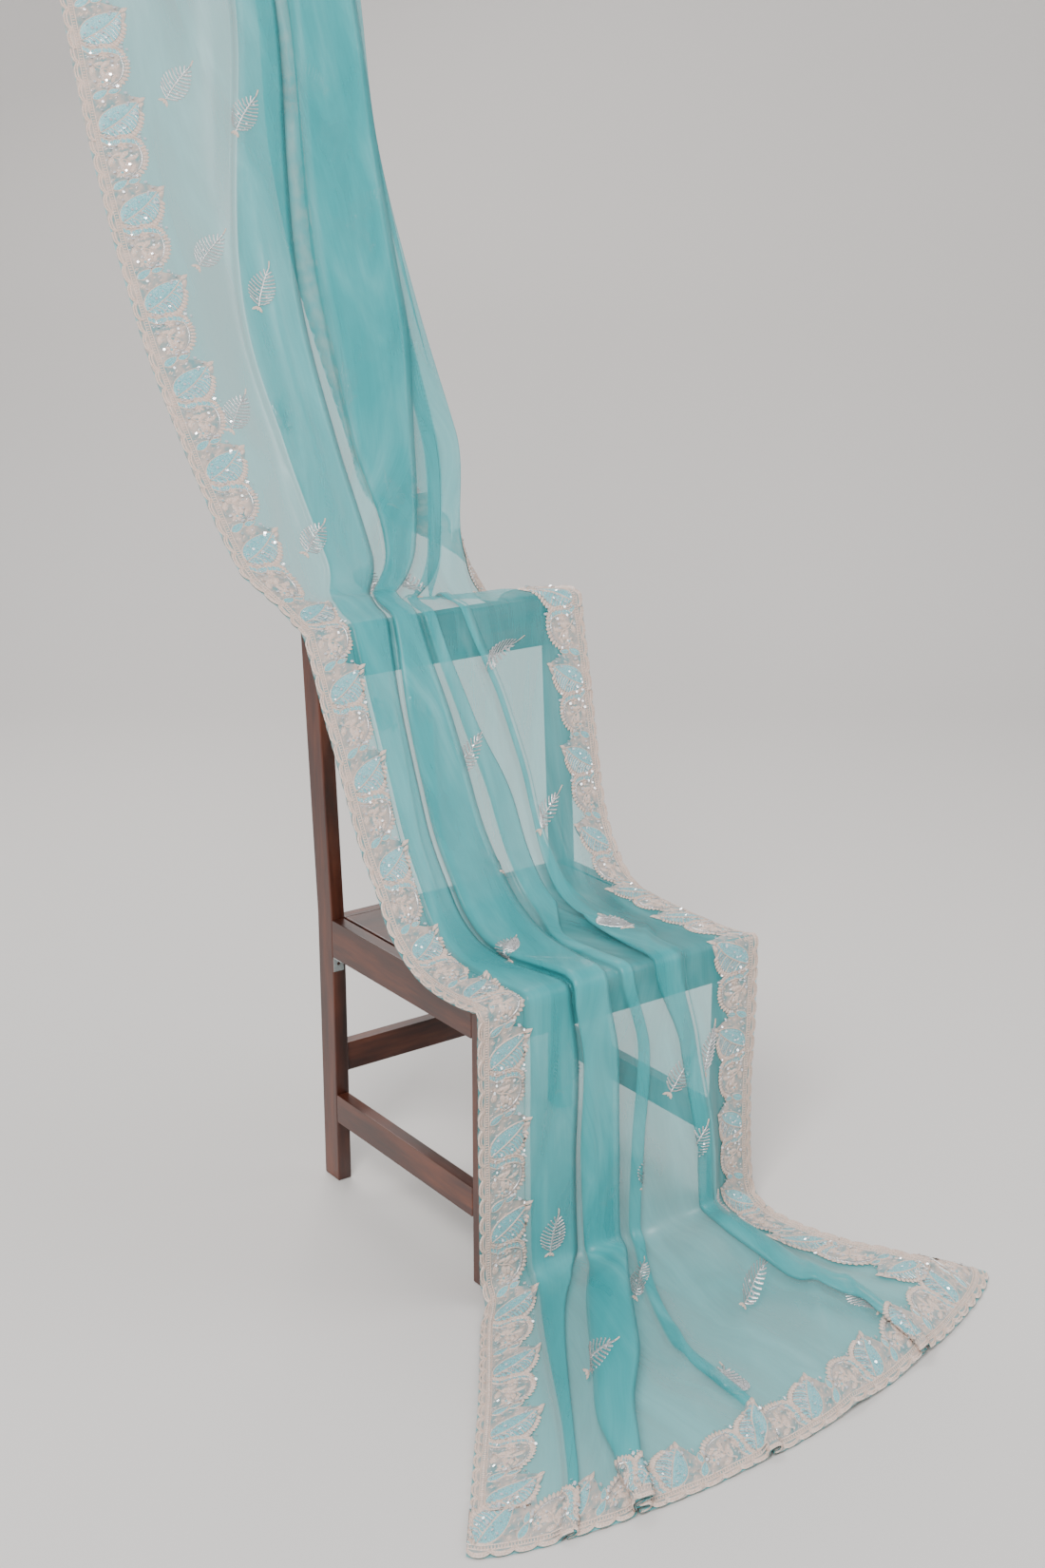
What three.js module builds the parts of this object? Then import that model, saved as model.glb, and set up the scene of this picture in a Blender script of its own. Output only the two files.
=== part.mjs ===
// Saree draped over a wooden chair. A length of sheer organza with embroidered scalloped borders comes down
// from above and behind, lands on the chair's back, bridges to the seat, drops over the seat's front edge
// and spreads on the floor. Millimetres, +Z up, the chair faces -Y, and X runs to the viewer's right.
// The tables are written from the chair's centre on the floor; the group is then moved so that its origin
// is the middle of the underside of the whole object's box.
import * as THREE from 'three';

// Cloth
const clothWall = 1.6;
const seamGap = 0.3;
const stretchRowPitch = 75;
const tipRadius = 3;
const foldRamp = 9;
const ridgeHalfWidth = 24;
const bulgeSpread = 62;
const fullLap = 16;
const innerCrestInset = 4;
const flapBendRadius = 3.5;
const normalStep = 4;
const longestMitre = 1.35;
const bowFullness = 0.6;
const shoulderWide = 14;
const shoulderShare = 0.8;

// Embroidered borders
const borderWidth = 88;
const borderWall = 1.2;
const scallopPitch = 29;
const scallopDepth = 5;
const scallopPoints = 3;
const scallopRim = 8;
const overhang = 22;

// Chair
const chairHalfWidth = 238;
const seatTop = 453;
const backTop = 905;
const legWide = 24;
const legDeep = 45;
const postDeep = 43;
const seatFront = -200;
const postFront = 229;
const backLean = 27;
const railThick = 20;
const seatRailHigh = 62;
const stretcherHigh = 48;
const sideStretcherLow = 106;
const rearStretcherLow = 187;
const seatBoardThick = 14;
const topRailHigh = 78;
const stretcherInset = 8;
const topRailInset = 6;
const topRailThick = 26;

// Where the cloth runs, from the floor end upward: one row for each cross-section. left and right are the
// cloth's two edges, out is the way its folds stand (degrees up from level), bow is how far the middle of the
// section runs ahead of its edges, inset is the right fold line's distance from the right end, flap is the
// cloth's width beyond that line and turn is how far it is folded back (degrees), leftDroop and rightDroop
// are how far the edges hang down past the seat's sides (degrees).
const sectionColumns = [
  'name', 'left', 'right', 'out', 'bow', 'inset', 'flap', 'turn', 'leftDroop', 'rightDroop',
];
const sections = [
  ['hem', [-606, -674, 0.8], [400, -580, 0.8], 90, 110, 103, 103, 0, 0, 0],
  ['hem_inner', [-539, -586, 0.8], [346, -486, 0.8], 90, 108, 103, 103, 0, 0, 0],
  ['floor_low', [-492, -524, 0.8], [328, -448, 0.8], 90, 88, 103, 103, 0, 0, 0],
  ['floor_mid', [-415, -423, 0.8], [300, -402, 0.8], 84, 52, 103, 103, 0, 0, 0],
  ['floor_high', [-306, -272, 0.8], [272, -318, 0.8], 66, 10, 103, 103, 0, 0, 0],
  ['floor_turn', [-267, -227, 7], [264, -246, 5], 46, 0, 103, 103, 0, 0, 0],
  ['drop_foot', [-262, -208, 31], [262, -214, 31], 34, 0, 103, 103, 0, 0, 0],
  ['drop_low', [-262, -205, 184], [257, -206, 190], 8, 0, 103, 103, 0, 0, 0],
  ['drop_high', [-262, -204.5, 333], [262, -205, 320], 0, 0, 103, 103, 0, 0, 0],
  ['drop_top', [-262, -204.5, 436], [262, -204.5, 436], 6, 0, 103, 103, 0, 0, 0],
  ['front_edge', [-262, -204, 454], [262, -204, 454], 45, 0, 103, 103, 0, 8, 12],
  ['seat_lip', [-262, -194, 456.2], [262, -194, 456.2], 80, 0, 103, 103, 0, 18, 24],
  ['seat_1', [-262, -150, 454.8], [262, -144, 454.8], 90, 0, 103, 103, 0, 30, 46],
  ['seat_2', [-262, -92, 454.8], [262, -53, 454.8], 90, 0, 103, 103, 0, 26, 54],
  ['seat_3', [-262, -29, 464], [262, 43, 455.5], 72, 0, 103, 103, 0, 4, 46],
  ['bridge_1', [-262, 21, 499], [262, 105, 461], 52, 0, 103, 103, 0, 0, 14],
  ['bridge_2', [-262, 58, 553], [262, 157, 512], 38, 0, 103, 103, 0, 0, 0],
  ['bridge_3', [-262, 98, 609], [262, 186, 585], 30, 0, 103, 103, 0, 0, 0],
  ['back_1', [-262, 131, 670], [262, 204, 672], 24, 0, 103, 103, 0, 0, 0],
  ['back_2', [-262, 171, 747], [262, 221, 765], 22, 0, 103, 103, 0, 0, 0],
  ['back_3', [-262, 209, 822], [262, 237, 842], 20, 0, 103, 103, 0, 0, 0],
  ['rail_front', [-262, 243, 893], [262, 247, 893], 28, 0, 103, 103, 0, 0, 0],
  ['rail_edge', [-262, 252, 909.5], [262, 253, 908], 55, 0, 103, 103, 0, 0, 0],
  ['rail_top', [-263, 278, 920], [260, 280, 910.5], 72, 0, 103, 103, 0, 0, 0],
  ['rail_back', [-269, 306, 938], [246, 306, 908], 66, 0, 103, 103, 4, 0, 0],
  ['dip_low', [-279, 326, 953], [216, 330, 884], 56, 0, 96, 104, 16, 0, 0],
  ['dip_high', [-290, 343, 968], [186, 341, 898], 42, 0, 84, 106, 30, 0, 0],
  ['fall_1', [-305, 366, 993], [160, 362, 984], 32, 0, 62, 110, 56, 0, 0],
  ['fall_2', [-330, 458, 1142], [126, 409, 1168], 26, 0, 2, 190, 172, 0, 0],
  ['fall_3', [-354, 549, 1321], [86, 454, 1363], 22, 0, 2, 190, 176, 0, 0],
  ['fall_4', [-377, 633, 1571], [43, 497, 1610], 18, 0, 2, 180, 176, 0, 0],
  ['fall_5', [-389, 698, 1816], [25, 510, 1820], 14, 0, 2, 170, 176, 0, 0],
  ['fall_end', [-392, 713, 1880], [20, 514, 1884], 12, 0, 2, 170, 176, 0, 0],
].map((row) => Object.fromEntries(sectionColumns.map((column, i) => [column, row[i]])));

// The lengthwise folds, left to right: one row for each. crest is the fold edge's distance from the left
// edge, lap is how far its layers lie over each other (a fold with none is a soft ridge), lift is the
// crest's height over the cloth, bulge is how far the cloth stands up around the fold. toward is +1 for an
// edge that faces right and -1 for left.
const foldSections = [
  'hem', 'hem_inner', 'floor_low', 'floor_mid', 'floor_turn', 'drop_foot', 'drop_low', 'drop_high',
  'front_edge', 'seat_2', 'bridge_1', 'bridge_3', 'back_2', 'rail_top',
  'fall_1', 'fall_2', 'fall_3', 'fall_end',
];
const folds = [
  {
    name: 'inner_fold', layers: 3, toward: 1,
    crest: [126, 126, 127, 126, 128, 146, 160, 168, 156, 136, 138, 134, 135, 150, 235, 247, 261, 326],
    lap: [17, 17, 17, 17, 20, 40, 60, 68, 56, 38, 40, 36, 37, 50, 84, 92, 100, 64],
    lift: [9, 9, 9, 9, 11, 11, 10, 10, 9, 9, 9, 9, 9, 10, 11, 12, 13, 13],
    bulge: [0, 0, 0, 0, 0, 0, 0, 0, 0, 0, 0, 0, 0, 0, 0, 0, 0, 0],
  },
  {
    name: 'main_fold', layers: 5, toward: 1,
    crest: [232, 216, 220, 244, 236, 234, 240, 240, 222, 233, 255, 238, 221, 196, 312, 379, 428, 448],
    lap: [20, 30, 50, 72, 60, 56, 64, 56, 52, 84, 104, 92, 74, 32, 48, 104, 132, 98],
    lift: [24, 24, 24, 24, 24, 24, 22, 22, 20, 20, 22, 22, 21, 20, 22, 24, 25, 25],
    bulge: [0, 0, 4, 14, 26, 22, 8, 2, 0, 0, 0, 0, 0, 0, 0, 0, 0, 0],
  },
  {
    name: 'narrow_pleat', layers: 3, toward: 1,
    crest: [440, 410, 373, 312, 276, 278, 288, 300, 272, 266, 331, 325, 268, 236, 346, 398, 404, 404],
    lap: [17, 17, 17, 17, 17, 17, 17, 17, 18, 17, 44, 48, 26, 18, 0, 0, 0, 0],
    lift: [12, 13, 16, 19, 19, 18, 14, 12, 10, 9, 10, 10, 10, 9, 5, 0, 0, 0],
    bulge: [0, 0, 0, 0, 0, 0, 0, 0, 0, 0, 0, 0, 0, 0, 0, 0, 0, 0],
  },
  {
    name: 'window_ridge', layers: 1, toward: 1,
    crest: [590, 552, 508, 432, 330, 326, 324, 322, 292, 292, 336, 332, 286, 249, 356, 408, 414, 414],
    lap: [0, 0, 0, 0, 0, 0, 0, 0, 0, 0, 0, 0, 0, 0, 0, 0, 0, 0],
    lift: [12, 14, 16, 14, 6, 2, 0, 0, 0, 0, 0, 0, 0, 0, 0, 0, 0, 0],
    bulge: [0, 0, 0, 0, 0, 0, 0, 0, 0, 0, 0, 0, 0, 0, 0, 0, 0, 0],
  },
  {
    name: 'right_fold', layers: 3, toward: -1,
    crest: [745, 702, 640, 518, 356, 350, 348, 346, 309, 321, 345, 352, 324, 280, 366, 418, 424, 424],
    lap: [20, 24, 38, 52, 38, 38, 38, 38, 58, 52, 26, 17, 17, 17, 0, 0, 0, 0],
    lift: [12, 14, 14, 14, 14, 14, 13, 12, 11, 11, 10, 9, 9, 8, 0, 0, 0, 0],
    bulge: [4, 6, 14, 30, 84, 80, 58, 22, 2, 0, 0, 0, 0, 0, 0, 0, 0, 0],
  },
];
const rightRidgeLift = [2, 3, 4, 5, 6, 5, 4, 4, 4, 4, 12, 14, 12, 5, 2, 0, 0, 0];

// The stretches that show: one node each, from one section to the next, with the folds that it carries
const allFolds = folds.map((fold) => fold.name);
const foldsUpTheBack = allFolds.filter((name) => name !== 'window_ridge');
const stretches = [
  { name: 'floor_spread', from: 'hem', to: 'drop_foot', carries: allFolds },
  { name: 'front_drop', from: 'drop_foot', to: 'front_edge', carries: allFolds },
  { name: 'seat_drape', from: 'front_edge', to: 'bridge_1', carries: foldsUpTheBack },
  { name: 'back_drape', from: 'bridge_1', to: 'rail_edge', carries: foldsUpTheBack },
  { name: 'hanging_fall', from: 'rail_edge', to: 'fall_end', carries: ['inner_fold', 'main_fold'] },
];

// Finishes
const organza = new THREE.MeshStandardMaterial({ color: 0x5fb8bd, roughness: 0.5, metalness: 0 });
const embroidery = new THREE.MeshStandardMaterial({ color: 0xc9b3a3, roughness: 0.55, metalness: 0.1 });
const darkWood = new THREE.MeshStandardMaterial({ color: 0x4a1f12, roughness: 0.4, metalness: 0 });

// Curves through table rows
const degrees = Math.PI / 180;
const mix = (a, b, t) => a + (b - a) * t;
const smooth = (t) => t * t * (3 - 2 * t);
const clamp01 = (t) => Math.min(1, Math.max(0, t));

// Distance of every section from the hem, along the middle of the cloth
const middleOf = (row) => row.left.map((value, i) => (value + row.right[i]) / 2);
sections.forEach((row, i) => {
  if (i === 0) {
    row.along = 0;
    return;
  }
  const before = middleOf(sections[i - 1]);
  row.along = sections[i - 1].along + Math.hypot(...middleOf(row).map((value, k) => value - before[k]));
});
const alongOf = Object.fromEntries(sections.map((row) => [row.name, row.along]));

function hermite(knots, values, slopes, at) {
  let i = 0;
  while (i < knots.length - 2 && at > knots[i + 1]) i += 1;
  const span = knots[i + 1] - knots[i];
  const t = clamp01((at - knots[i]) / span);
  const t2 = t * t;
  const t3 = t2 * t;
  return (2 * t3 - 3 * t2 + 1) * values[i] + (t3 - 2 * t2 + t) * span * slopes[i]
    + (3 * t2 - 2 * t3) * values[i + 1] + (t3 - t2) * span * slopes[i + 1];
}

// A smooth curve through table rows, for the cloth's path: at each row it runs as the rows on either side do
function pathCurve(knots, values) {
  const last = values.length - 1;
  const slopes = values.map((_, i) => {
    const before = Math.max(0, i - 1);
    const after = Math.min(last, i + 1);
    return (values[after] - values[before]) / (knots[after] - knots[before]);
  });
  return (at) => hermite(knots, values, slopes, at);
}

// A curve through table rows that never swings past them, for sizes
function steadyCurve(knots, values) {
  const rises = knots.slice(1).map((knot, i) => (values[i + 1] - values[i]) / (knot - knots[i]));
  const slopes = values.map((value, i) => {
    if (i === 0 || i === values.length - 1) return 0;
    const before = rises[i - 1];
    const after = rises[i];
    return before * after <= 0 ? 0 : (2 * before * after) / (before + after);
  });
  return (at) => hermite(knots, values, slopes, at);
}

const sectionKnots = sections.map((row) => row.along);
const edgeCurves = Object.fromEntries(['left', 'right'].map((side) => [
  side, [0, 1, 2].map((axis) => pathCurve(sectionKnots, sections.map((row) => row[side][axis]))),
]));
const edgePoint = (side, along) => {
  const [x, y, z] = edgeCurves[side].map((curve) => curve(along));
  return new THREE.Vector3(x, y, Math.max(z, clothWall / 2));
};
const sizeCurves = Object.fromEntries(sectionColumns.slice(3).map((column) => [
  column, steadyCurve(sectionKnots, sections.map((row) => row[column])),
]));
const foldKnots = foldSections.map((name) => alongOf[name]);
folds.forEach((fold) => {
  fold.curves = Object.fromEntries(['crest', 'lap', 'lift', 'bulge'].map((size) => [
    size, steadyCurve(foldKnots, fold[size]),
  ]));
});
const rightRidgeCurve = steadyCurve(foldKnots, rightRidgeLift);

// Fold outlines: pairs of distance across and share of the lift, for a crest that faces right
function foldOutline(layers, lap) {
  if (layers === 1) return [[-ridgeHalfWidth, 0], [0, 1], [ridgeHalfWidth, 0]];
  const back = -lap;
  const levels = layers - 1;
  const outline = [[back - foldRamp, 0], [back - tipRadius, 1]];
  for (let level = levels; level > 0; level -= 2) {
    const edge = level === levels ? 0 : -innerCrestInset;
    outline.push([edge, level / levels], [edge, (level - 1) / levels]);
    outline.push([back, (level - 1) / levels], [back, (level - 2) / levels]);
  }
  return outline;
}

// The same number of points on a soft ridge: two rise to the crest and the rest fall from it
function ridgeOutline(count) {
  return Array.from({ length: count }, (_, i) => {
    const share = i < 2 ? i / 2 - 1 : (i - 2) / (count - 3);
    return [ridgeHalfWidth * share, Math.cos(share * Math.PI / 2) ** 2];
  });
}

// Columns of one fold at a distance along: [across, height]
function foldColumns(fold, along) {
  const crest = fold.curves.crest(along);
  const lap = fold.curves.lap(along);
  const lift = fold.curves.lift(along);
  const folded = foldOutline(fold.layers, Math.max(lap, fullLap));
  const ridge = fold.layers === 1 ? folded : ridgeOutline(folded.length);
  const share = smooth(clamp01(lap / fullLap));
  const outline = folded.map((point, i) => point.map((value, k) => mix(ridge[i][k], value, share)));
  if (fold.toward < 0) outline.reverse();
  return outline.map(([across, height]) => [crest + fold.toward * across, lift * height]);
}

// How far the whole cloth stands up around its folds, beyond the folds' own layers
function bulgeAt(across, along) {
  return folds.reduce((sum, fold) => {
    const centre = fold.curves.crest(along) - fold.toward * fold.curves.lap(along) / 2;
    return sum + fold.curves.bulge(along) * Math.exp(-(((across - centre) / bulgeSpread) ** 2));
  }, 0);
}

// The right part: a ridge line, then the flap beyond it with the border at its end
function rightColumns(width, along) {
  const crest = width - sizeCurves.inset(along);
  const lift = rightRidgeCurve(along);
  const flap = sizeCurves.flap(along);
  const turn = Math.asin(lift / flap) + sizeCurves.turn(along) * degrees;
  const droop = sizeCurves.rightDroop(along) * degrees;
  const bendLength = flapBendRadius * Math.PI;
  const fromEnd = [borderWidth, overhang, scallopRim, 0];
  const reaches = [0, bendLength / 2, bendLength, ...fromEnd.map((reach) => flap - reach)];
  const flapColumns = reaches.map((reach) => {
    const bend = turn * Math.min(1, reach / bendLength);
    const chord = Math.min(reach, bendLength) * (bend > 0.01 ? Math.sin(bend / 2) / (bend / 2) : 1);
    const straight = Math.max(0, Math.min(reach, flap - overhang) - bendLength);
    const hanging = Math.max(0, reach - (flap - overhang));
    return [
      crest + chord * Math.cos(bend / 2) + straight * Math.cos(turn) + hanging * Math.cos(turn + droop),
      lift - chord * Math.sin(bend / 2) - straight * Math.sin(turn) - hanging * Math.sin(turn + droop),
    ];
  });
  return [[crest - shoulderWide, lift * shoulderShare], ...flapColumns];
}

function leftColumns(along) {
  const droop = sizeCurves.leftDroop(along) * degrees;
  return [0, scallopRim, overhang, borderWidth].map((reach) => {
    const hanging = Math.max(0, overhang - reach);
    return [Math.max(reach, overhang) - hanging * Math.cos(droop), -hanging * Math.sin(droop)];
  });
}

// One cross-section of the cloth as points in space
function clothRow(along, carries) {
  const left = edgePoint('left', along);
  const right = edgePoint('right', along);
  const acrossWay = right.clone().sub(left);
  const width = acrossWay.length();
  acrossWay.normalize();
  const frontWay = new THREE.Vector3().crossVectors(acrossWay, new THREE.Vector3(0, 0, 1)).normalize();
  const upWay = new THREE.Vector3().crossVectors(frontWay, acrossWay).normalize();
  const lean = sizeCurves.out(along) * degrees;
  const outWay = frontWay.clone().multiplyScalar(Math.cos(lean)).addScaledVector(upWay, Math.sin(lean));
  const columns = [...leftColumns(along)];
  folds.forEach((fold) => {
    if (carries.includes(fold.name)) columns.push(...foldColumns(fold, along));
    else columns.push([fold.curves.crest(along), 0]);
  });
  columns.push(...rightColumns(width, along));
  const bow = sizeCurves.bow(along);
  return columns.map(([across, height]) => {
    const share = clamp01(across / width);
    return left.clone()
      .addScaledVector(acrossWay, across)
      .addScaledVector(outWay, height + bulgeAt(across, along))
      .addScaledVector(frontWay, bow * Math.sin(Math.PI * share) ** bowFullness);
  });
}

// Rows of one stretch, closer where its sections are closer
function stretchRows(stretch) {
  const start = alongOf[stretch.from] + (stretch.from === 'hem' ? 0 : seamGap / 2);
  const end = alongOf[stretch.to] - seamGap / 2;
  const stops = [start, ...sectionKnots.filter((knot) => knot > start + 1 && knot < end - 1), end];
  const rows = [];
  stops.slice(1).forEach((stop, i) => {
    const count = Math.max(1, Math.round((stop - stops[i]) / stretchRowPitch));
    for (let k = 0; k < count; k += 1) rows.push(mix(stops[i], stop, k / count));
  });
  rows.push(end);
  return rows;
}

// Outward way at each point of a row, from the rows just before and after it
function rowNormals(along, row, carries) {
  const before = clothRow(along - normalStep, carries);
  const after = clothRow(along + normalStep, carries);
  const last = row.length - 1;
  return row.map((point, j) => {
    const arriving = point.clone().sub(row[Math.max(j - 1, 0)]).normalize();
    const leaving = row[Math.min(j + 1, last)].clone().sub(point).normalize();
    const acrossWay = arriving.clone().add(leaving);
    const mitre = j > 0 && j < last ? Math.min(longestMitre, 2 / acrossWay.length()) : 1;
    const alongWay = after[j].clone().sub(before[j]);
    return acrossWay.cross(alongWay).normalize().multiplyScalar(mitre);
  });
}

// A closed wall from triangles on its middle sheet, moved out to its two faces
function closedWall(name, points, normals, triangles, low, high, material) {
  const count = points.length;
  const moved = (offset) => points.map((point, i) => point.clone().addScaledVector(normals[i], offset));
  const corners = [...moved(high), ...moved(low)].flatMap((point) => point.toArray());
  const index = [];
  const edgeUse = new Map();
  triangles.forEach(([a, b, c]) => {
    index.push(a, b, c, a + count, c + count, b + count);
    [[a, b], [b, c], [c, a]].forEach(([from, to]) => edgeUse.set(`${from}_${to}`, [from, to]));
  });
  edgeUse.forEach(([from, to]) => {
    if (edgeUse.has(`${to}_${from}`)) return;
    if (from > to) index.push(to, from, from + count, to, from + count, to + count);
    else index.push(from, from + count, to + count, from, to + count, to);
  });
  const geometry = new THREE.BufferGeometry();
  geometry.setAttribute('position', new THREE.Float32BufferAttribute(corners, 3));
  geometry.setIndex(index);
  geometry.computeVertexNormals();
  const mesh = new THREE.Mesh(geometry, material);
  mesh.name = name;
  return mesh;
}

// Triangles of a grid between two of its columns
function gridTriangles(rowCount, columnCount, fromColumn, toColumn, indexOf) {
  const triangles = [];
  for (let i = 0; i < rowCount - 1; i += 1) {
    for (let j = fromColumn; j < toColumn; j += 1) {
      triangles.push([indexOf(i, j), indexOf(i, j + 1), indexOf(i + 1, j + 1)]);
      triangles.push([indexOf(i, j), indexOf(i + 1, j + 1), indexOf(i + 1, j)]);
    }
  }
  return triangles;
}

// A border strip: the panel's own points moved out, with a scalloped rim along the first line. lines run
// along the strip, from the outer edge inward. Between two rows the rim and the line beside it get the points
// of each scallop, on straight runs from row to row. mirrored is for a strip whose lines run right to left.
function borderStrip(name, lines, lineNormals, flip, mirrored) {
  const points = [];
  const normals = [];
  const triangles = [];
  const between = (list, i, share) => list[i].clone().lerp(list[i + 1] ?? list[i], share);
  const add = (point, normal) => {
    normals.push(normal);
    return points.push(point) - 1;
  };
  const [edge, inner] = lines;
  const [edgeNormals, innerNormals] = lineNormals;
  const valleyShare = scallopDepth / scallopRim;
  const addValley = (i, share) => add(
    between(edge, i, share).lerp(between(inner, i, share), valleyShare),
    between(edgeNormals, i, share),
  );
  const addCrest = (i, share) => add(between(edge, i, share), between(edgeNormals, i, share));
  const addInner = (i, share) => add(between(inner, i, share), between(innerNormals, i, share));

  const coarse = lines.slice(2).map((line, k) => line.map((point, i) => add(point, lineNormals[k + 2][i])));
  let rimAt = addValley(0, 0);
  let innerAt = addInner(0, 0);
  for (let i = 0; i < edge.length - 1; i += 1) {
    const scallops = Math.max(1, Math.round(edge[i].distanceTo(edge[i + 1]) / scallopPitch));
    const rowStart = innerAt;
    for (let m = 0; m < scallops; m += 1) {
      for (let k = 1; k <= scallopPoints; k += 1) {
        const share = (m + k / scallopPoints) / scallops;
        const crest = k < scallopPoints;
        const next = crest ? addCrest(i, share) : addValley(i, share);
        triangles.push([rimAt, innerAt, next]);
        rimAt = next;
      }
      const nextInner = addInner(i, (m + 1) / scallops);
      triangles.push([rimAt, innerAt, nextInner], [innerAt, coarse[0][mirrored ? i : i + 1], nextInner]);
      innerAt = nextInner;
    }
    triangles.push([mirrored ? innerAt : rowStart, coarse[0][i], coarse[0][i + 1]]);
  }
  for (let k = 0; k < coarse.length - 1; k += 1) {
    for (let i = 0; i < edge.length - 1; i += 1) {
      const [a, b, c, d] = [coarse[k][i], coarse[k + 1][i], coarse[k + 1][i + 1], coarse[k][i + 1]];
      if (mirrored) triangles.push([a, b, d], [b, c, d]);
      else triangles.push([a, b, c], [a, c, d]);
    }
  }
  const facing = flip ? triangles.map(([a, b, c]) => [a, c, b]) : triangles;
  const low = clothWall / 2 + seamGap;
  return closedWall(name, points, normals, facing, low, low + borderWall, embroidery);
}

const saree = new THREE.Group();

// One stretch of cloth with its two side borders, and the end border on the floor stretch
stretches.forEach((stretch) => {
  const alongs = stretchRows(stretch);
  const onFloor = stretch.from === 'hem';
  if (onFloor) {
    const hemRows = [0, scallopRim, borderWidth / 2, borderWidth - seamGap / 2, borderWidth + seamGap / 2];
    alongs.splice(0, alongs.filter((along) => along < borderWidth + 20).length, ...hemRows);
  }
  const grid = alongs.map((along) => clothRow(along, stretch.carries));
  const normals = alongs.map((along, i) => rowNormals(along, grid[i], stretch.carries));
  const columnCount = grid[0].length;
  const firstRow = onFloor ? 1 : 0;
  const panelGrid = grid.slice(firstRow).map((row) => row.slice(1, -1));
  const panelNormals = normals.slice(firstRow).map((row) => row.slice(1, -1));
  const panelColumns = columnCount - 2;
  const indexOf = (i, j) => i * panelColumns + j;
  const triangles = gridTriangles(panelGrid.length, panelColumns, 0, panelColumns - 1, indexOf);
  saree.add(closedWall(
    stretch.name, panelGrid.flat(), panelNormals.flat(), triangles, -clothWall / 2, clothWall / 2, organza,
  ));
  const sideStart = onFloor ? 4 : 0;
  const sideRows = grid.slice(sideStart);
  const sideNormals = normals.slice(sideStart);
  const sides = { left: [0, 1, 2, 3], right: [0, 1, 2, 3].map((k) => columnCount - 1 - k) };
  Object.entries(sides).forEach(([side, columns]) => {
    const lines = columns.map((j) => sideRows.map((row) => row[j]));
    const lineNormals = columns.map((j) => sideNormals.map((row) => row[j]));
    const isRight = side === 'right';
    saree.add(borderStrip(`${side}_border_${stretch.name}`, lines, lineNormals, isRight, isRight));
  });
  if (onFloor) {
    const lines = [0, 1, 2, 3].map((i) => grid[i].slice(1, -1));
    const lineNormals = [0, 1, 2, 3].map((i) => normals[i].slice(1, -1));
    saree.add(borderStrip('end_border', lines, lineNormals, true, false));
  }
});

// Chair
function box(name, low, high) {
  const size = high.map((value, i) => value - low[i]);
  const mesh = new THREE.Mesh(new THREE.BoxGeometry(...size), darkWood);
  mesh.position.set(...high.map((value, i) => (value + low[i]) / 2));
  mesh.name = name;
  saree.add(mesh);
}

// Turns an outline drawn in Y and Z, with its depth along X
const sideways = new THREE.Matrix4().makeBasis(
  new THREE.Vector3(0, 1, 0), new THREE.Vector3(0, 0, 1), new THREE.Vector3(1, 0, 0),
);
const innerX = chairHalfWidth - legWide;
const seatRailLow = seatTop - seatRailHigh;
const legBack = seatFront + legDeep;
const leanAt = (height) => backLean * Math.max(0, height - seatTop) / (backTop - seatTop);

[['left', -1], ['right', 1]].forEach(([side, sign]) => {
  const slabX = (inner, outer) => (sign < 0 ? [-outer, -inner] : [inner, outer]);
  const [legLow, legHigh] = slabX(innerX, chairHalfWidth);
  box(`front_leg_${side}`, [legLow, seatFront, 0], [legHigh, legBack, seatTop]);

  const outline = new THREE.Shape([
    new THREE.Vector2(postFront, 0),
    new THREE.Vector2(postFront + postDeep, 0),
    new THREE.Vector2(postFront + postDeep, seatTop),
    new THREE.Vector2(postFront + postDeep + backLean, backTop),
    new THREE.Vector2(postFront + backLean, backTop),
    new THREE.Vector2(postFront, seatTop),
  ]);
  const postSolid = new THREE.ExtrudeGeometry(outline, { depth: legWide, bevelEnabled: false });
  const post = new THREE.Mesh(postSolid, darkWood);
  post.geometry.applyMatrix4(sideways);
  post.position.x = legLow;
  post.name = `back_post_${side}`;
  saree.add(post);

  const [railLow, railHigh] = slabX(chairHalfWidth - railThick, chairHalfWidth);
  const railStart = legBack + seamGap;
  const railEnd = postFront - seamGap;
  box(`side_seat_rail_${side}`, [railLow, railStart, seatRailLow], [railHigh, railEnd, seatTop]);
  box(`side_stretcher_${side}`, [railLow, railStart, sideStretcherLow],
    [railHigh, railEnd, sideStretcherLow + stretcherHigh]);
});

const spanX = innerX - seamGap;
box('front_seat_rail', [-spanX, seatFront, seatRailLow], [spanX, seatFront + railThick, seatTop]);
box('rear_seat_rail', [-spanX, postFront, seatRailLow], [spanX, postFront + railThick, seatTop]);
const rearStretcherFront = postFront + stretcherInset;
box('rear_stretcher', [-spanX, rearStretcherFront, rearStretcherLow],
  [spanX, rearStretcherFront + railThick, rearStretcherLow + stretcherHigh]);
box('seat_board', [-spanX, seatFront + railThick + seamGap, seatTop - seatBoardThick],
  [spanX, postFront - seamGap, seatTop]);

// The top rail leans with the posts, so it is a sheared bar
const topRailLow = backTop - topRailHigh;
const topRailFront = postFront + topRailInset;
const topRailOutline = new THREE.Shape([
  new THREE.Vector2(topRailFront + leanAt(topRailLow), topRailLow),
  new THREE.Vector2(topRailFront + topRailThick + leanAt(topRailLow), topRailLow),
  new THREE.Vector2(topRailFront + topRailThick + leanAt(backTop), backTop),
  new THREE.Vector2(topRailFront + leanAt(backTop), backTop),
]);
const topRail = new THREE.Mesh(
  new THREE.ExtrudeGeometry(topRailOutline, { depth: 2 * spanX, bevelEnabled: false }), darkWood,
);
topRail.geometry.applyMatrix4(sideways);
topRail.position.x = -spanX;
topRail.name = 'top_rail';
saree.add(topRail);

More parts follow.
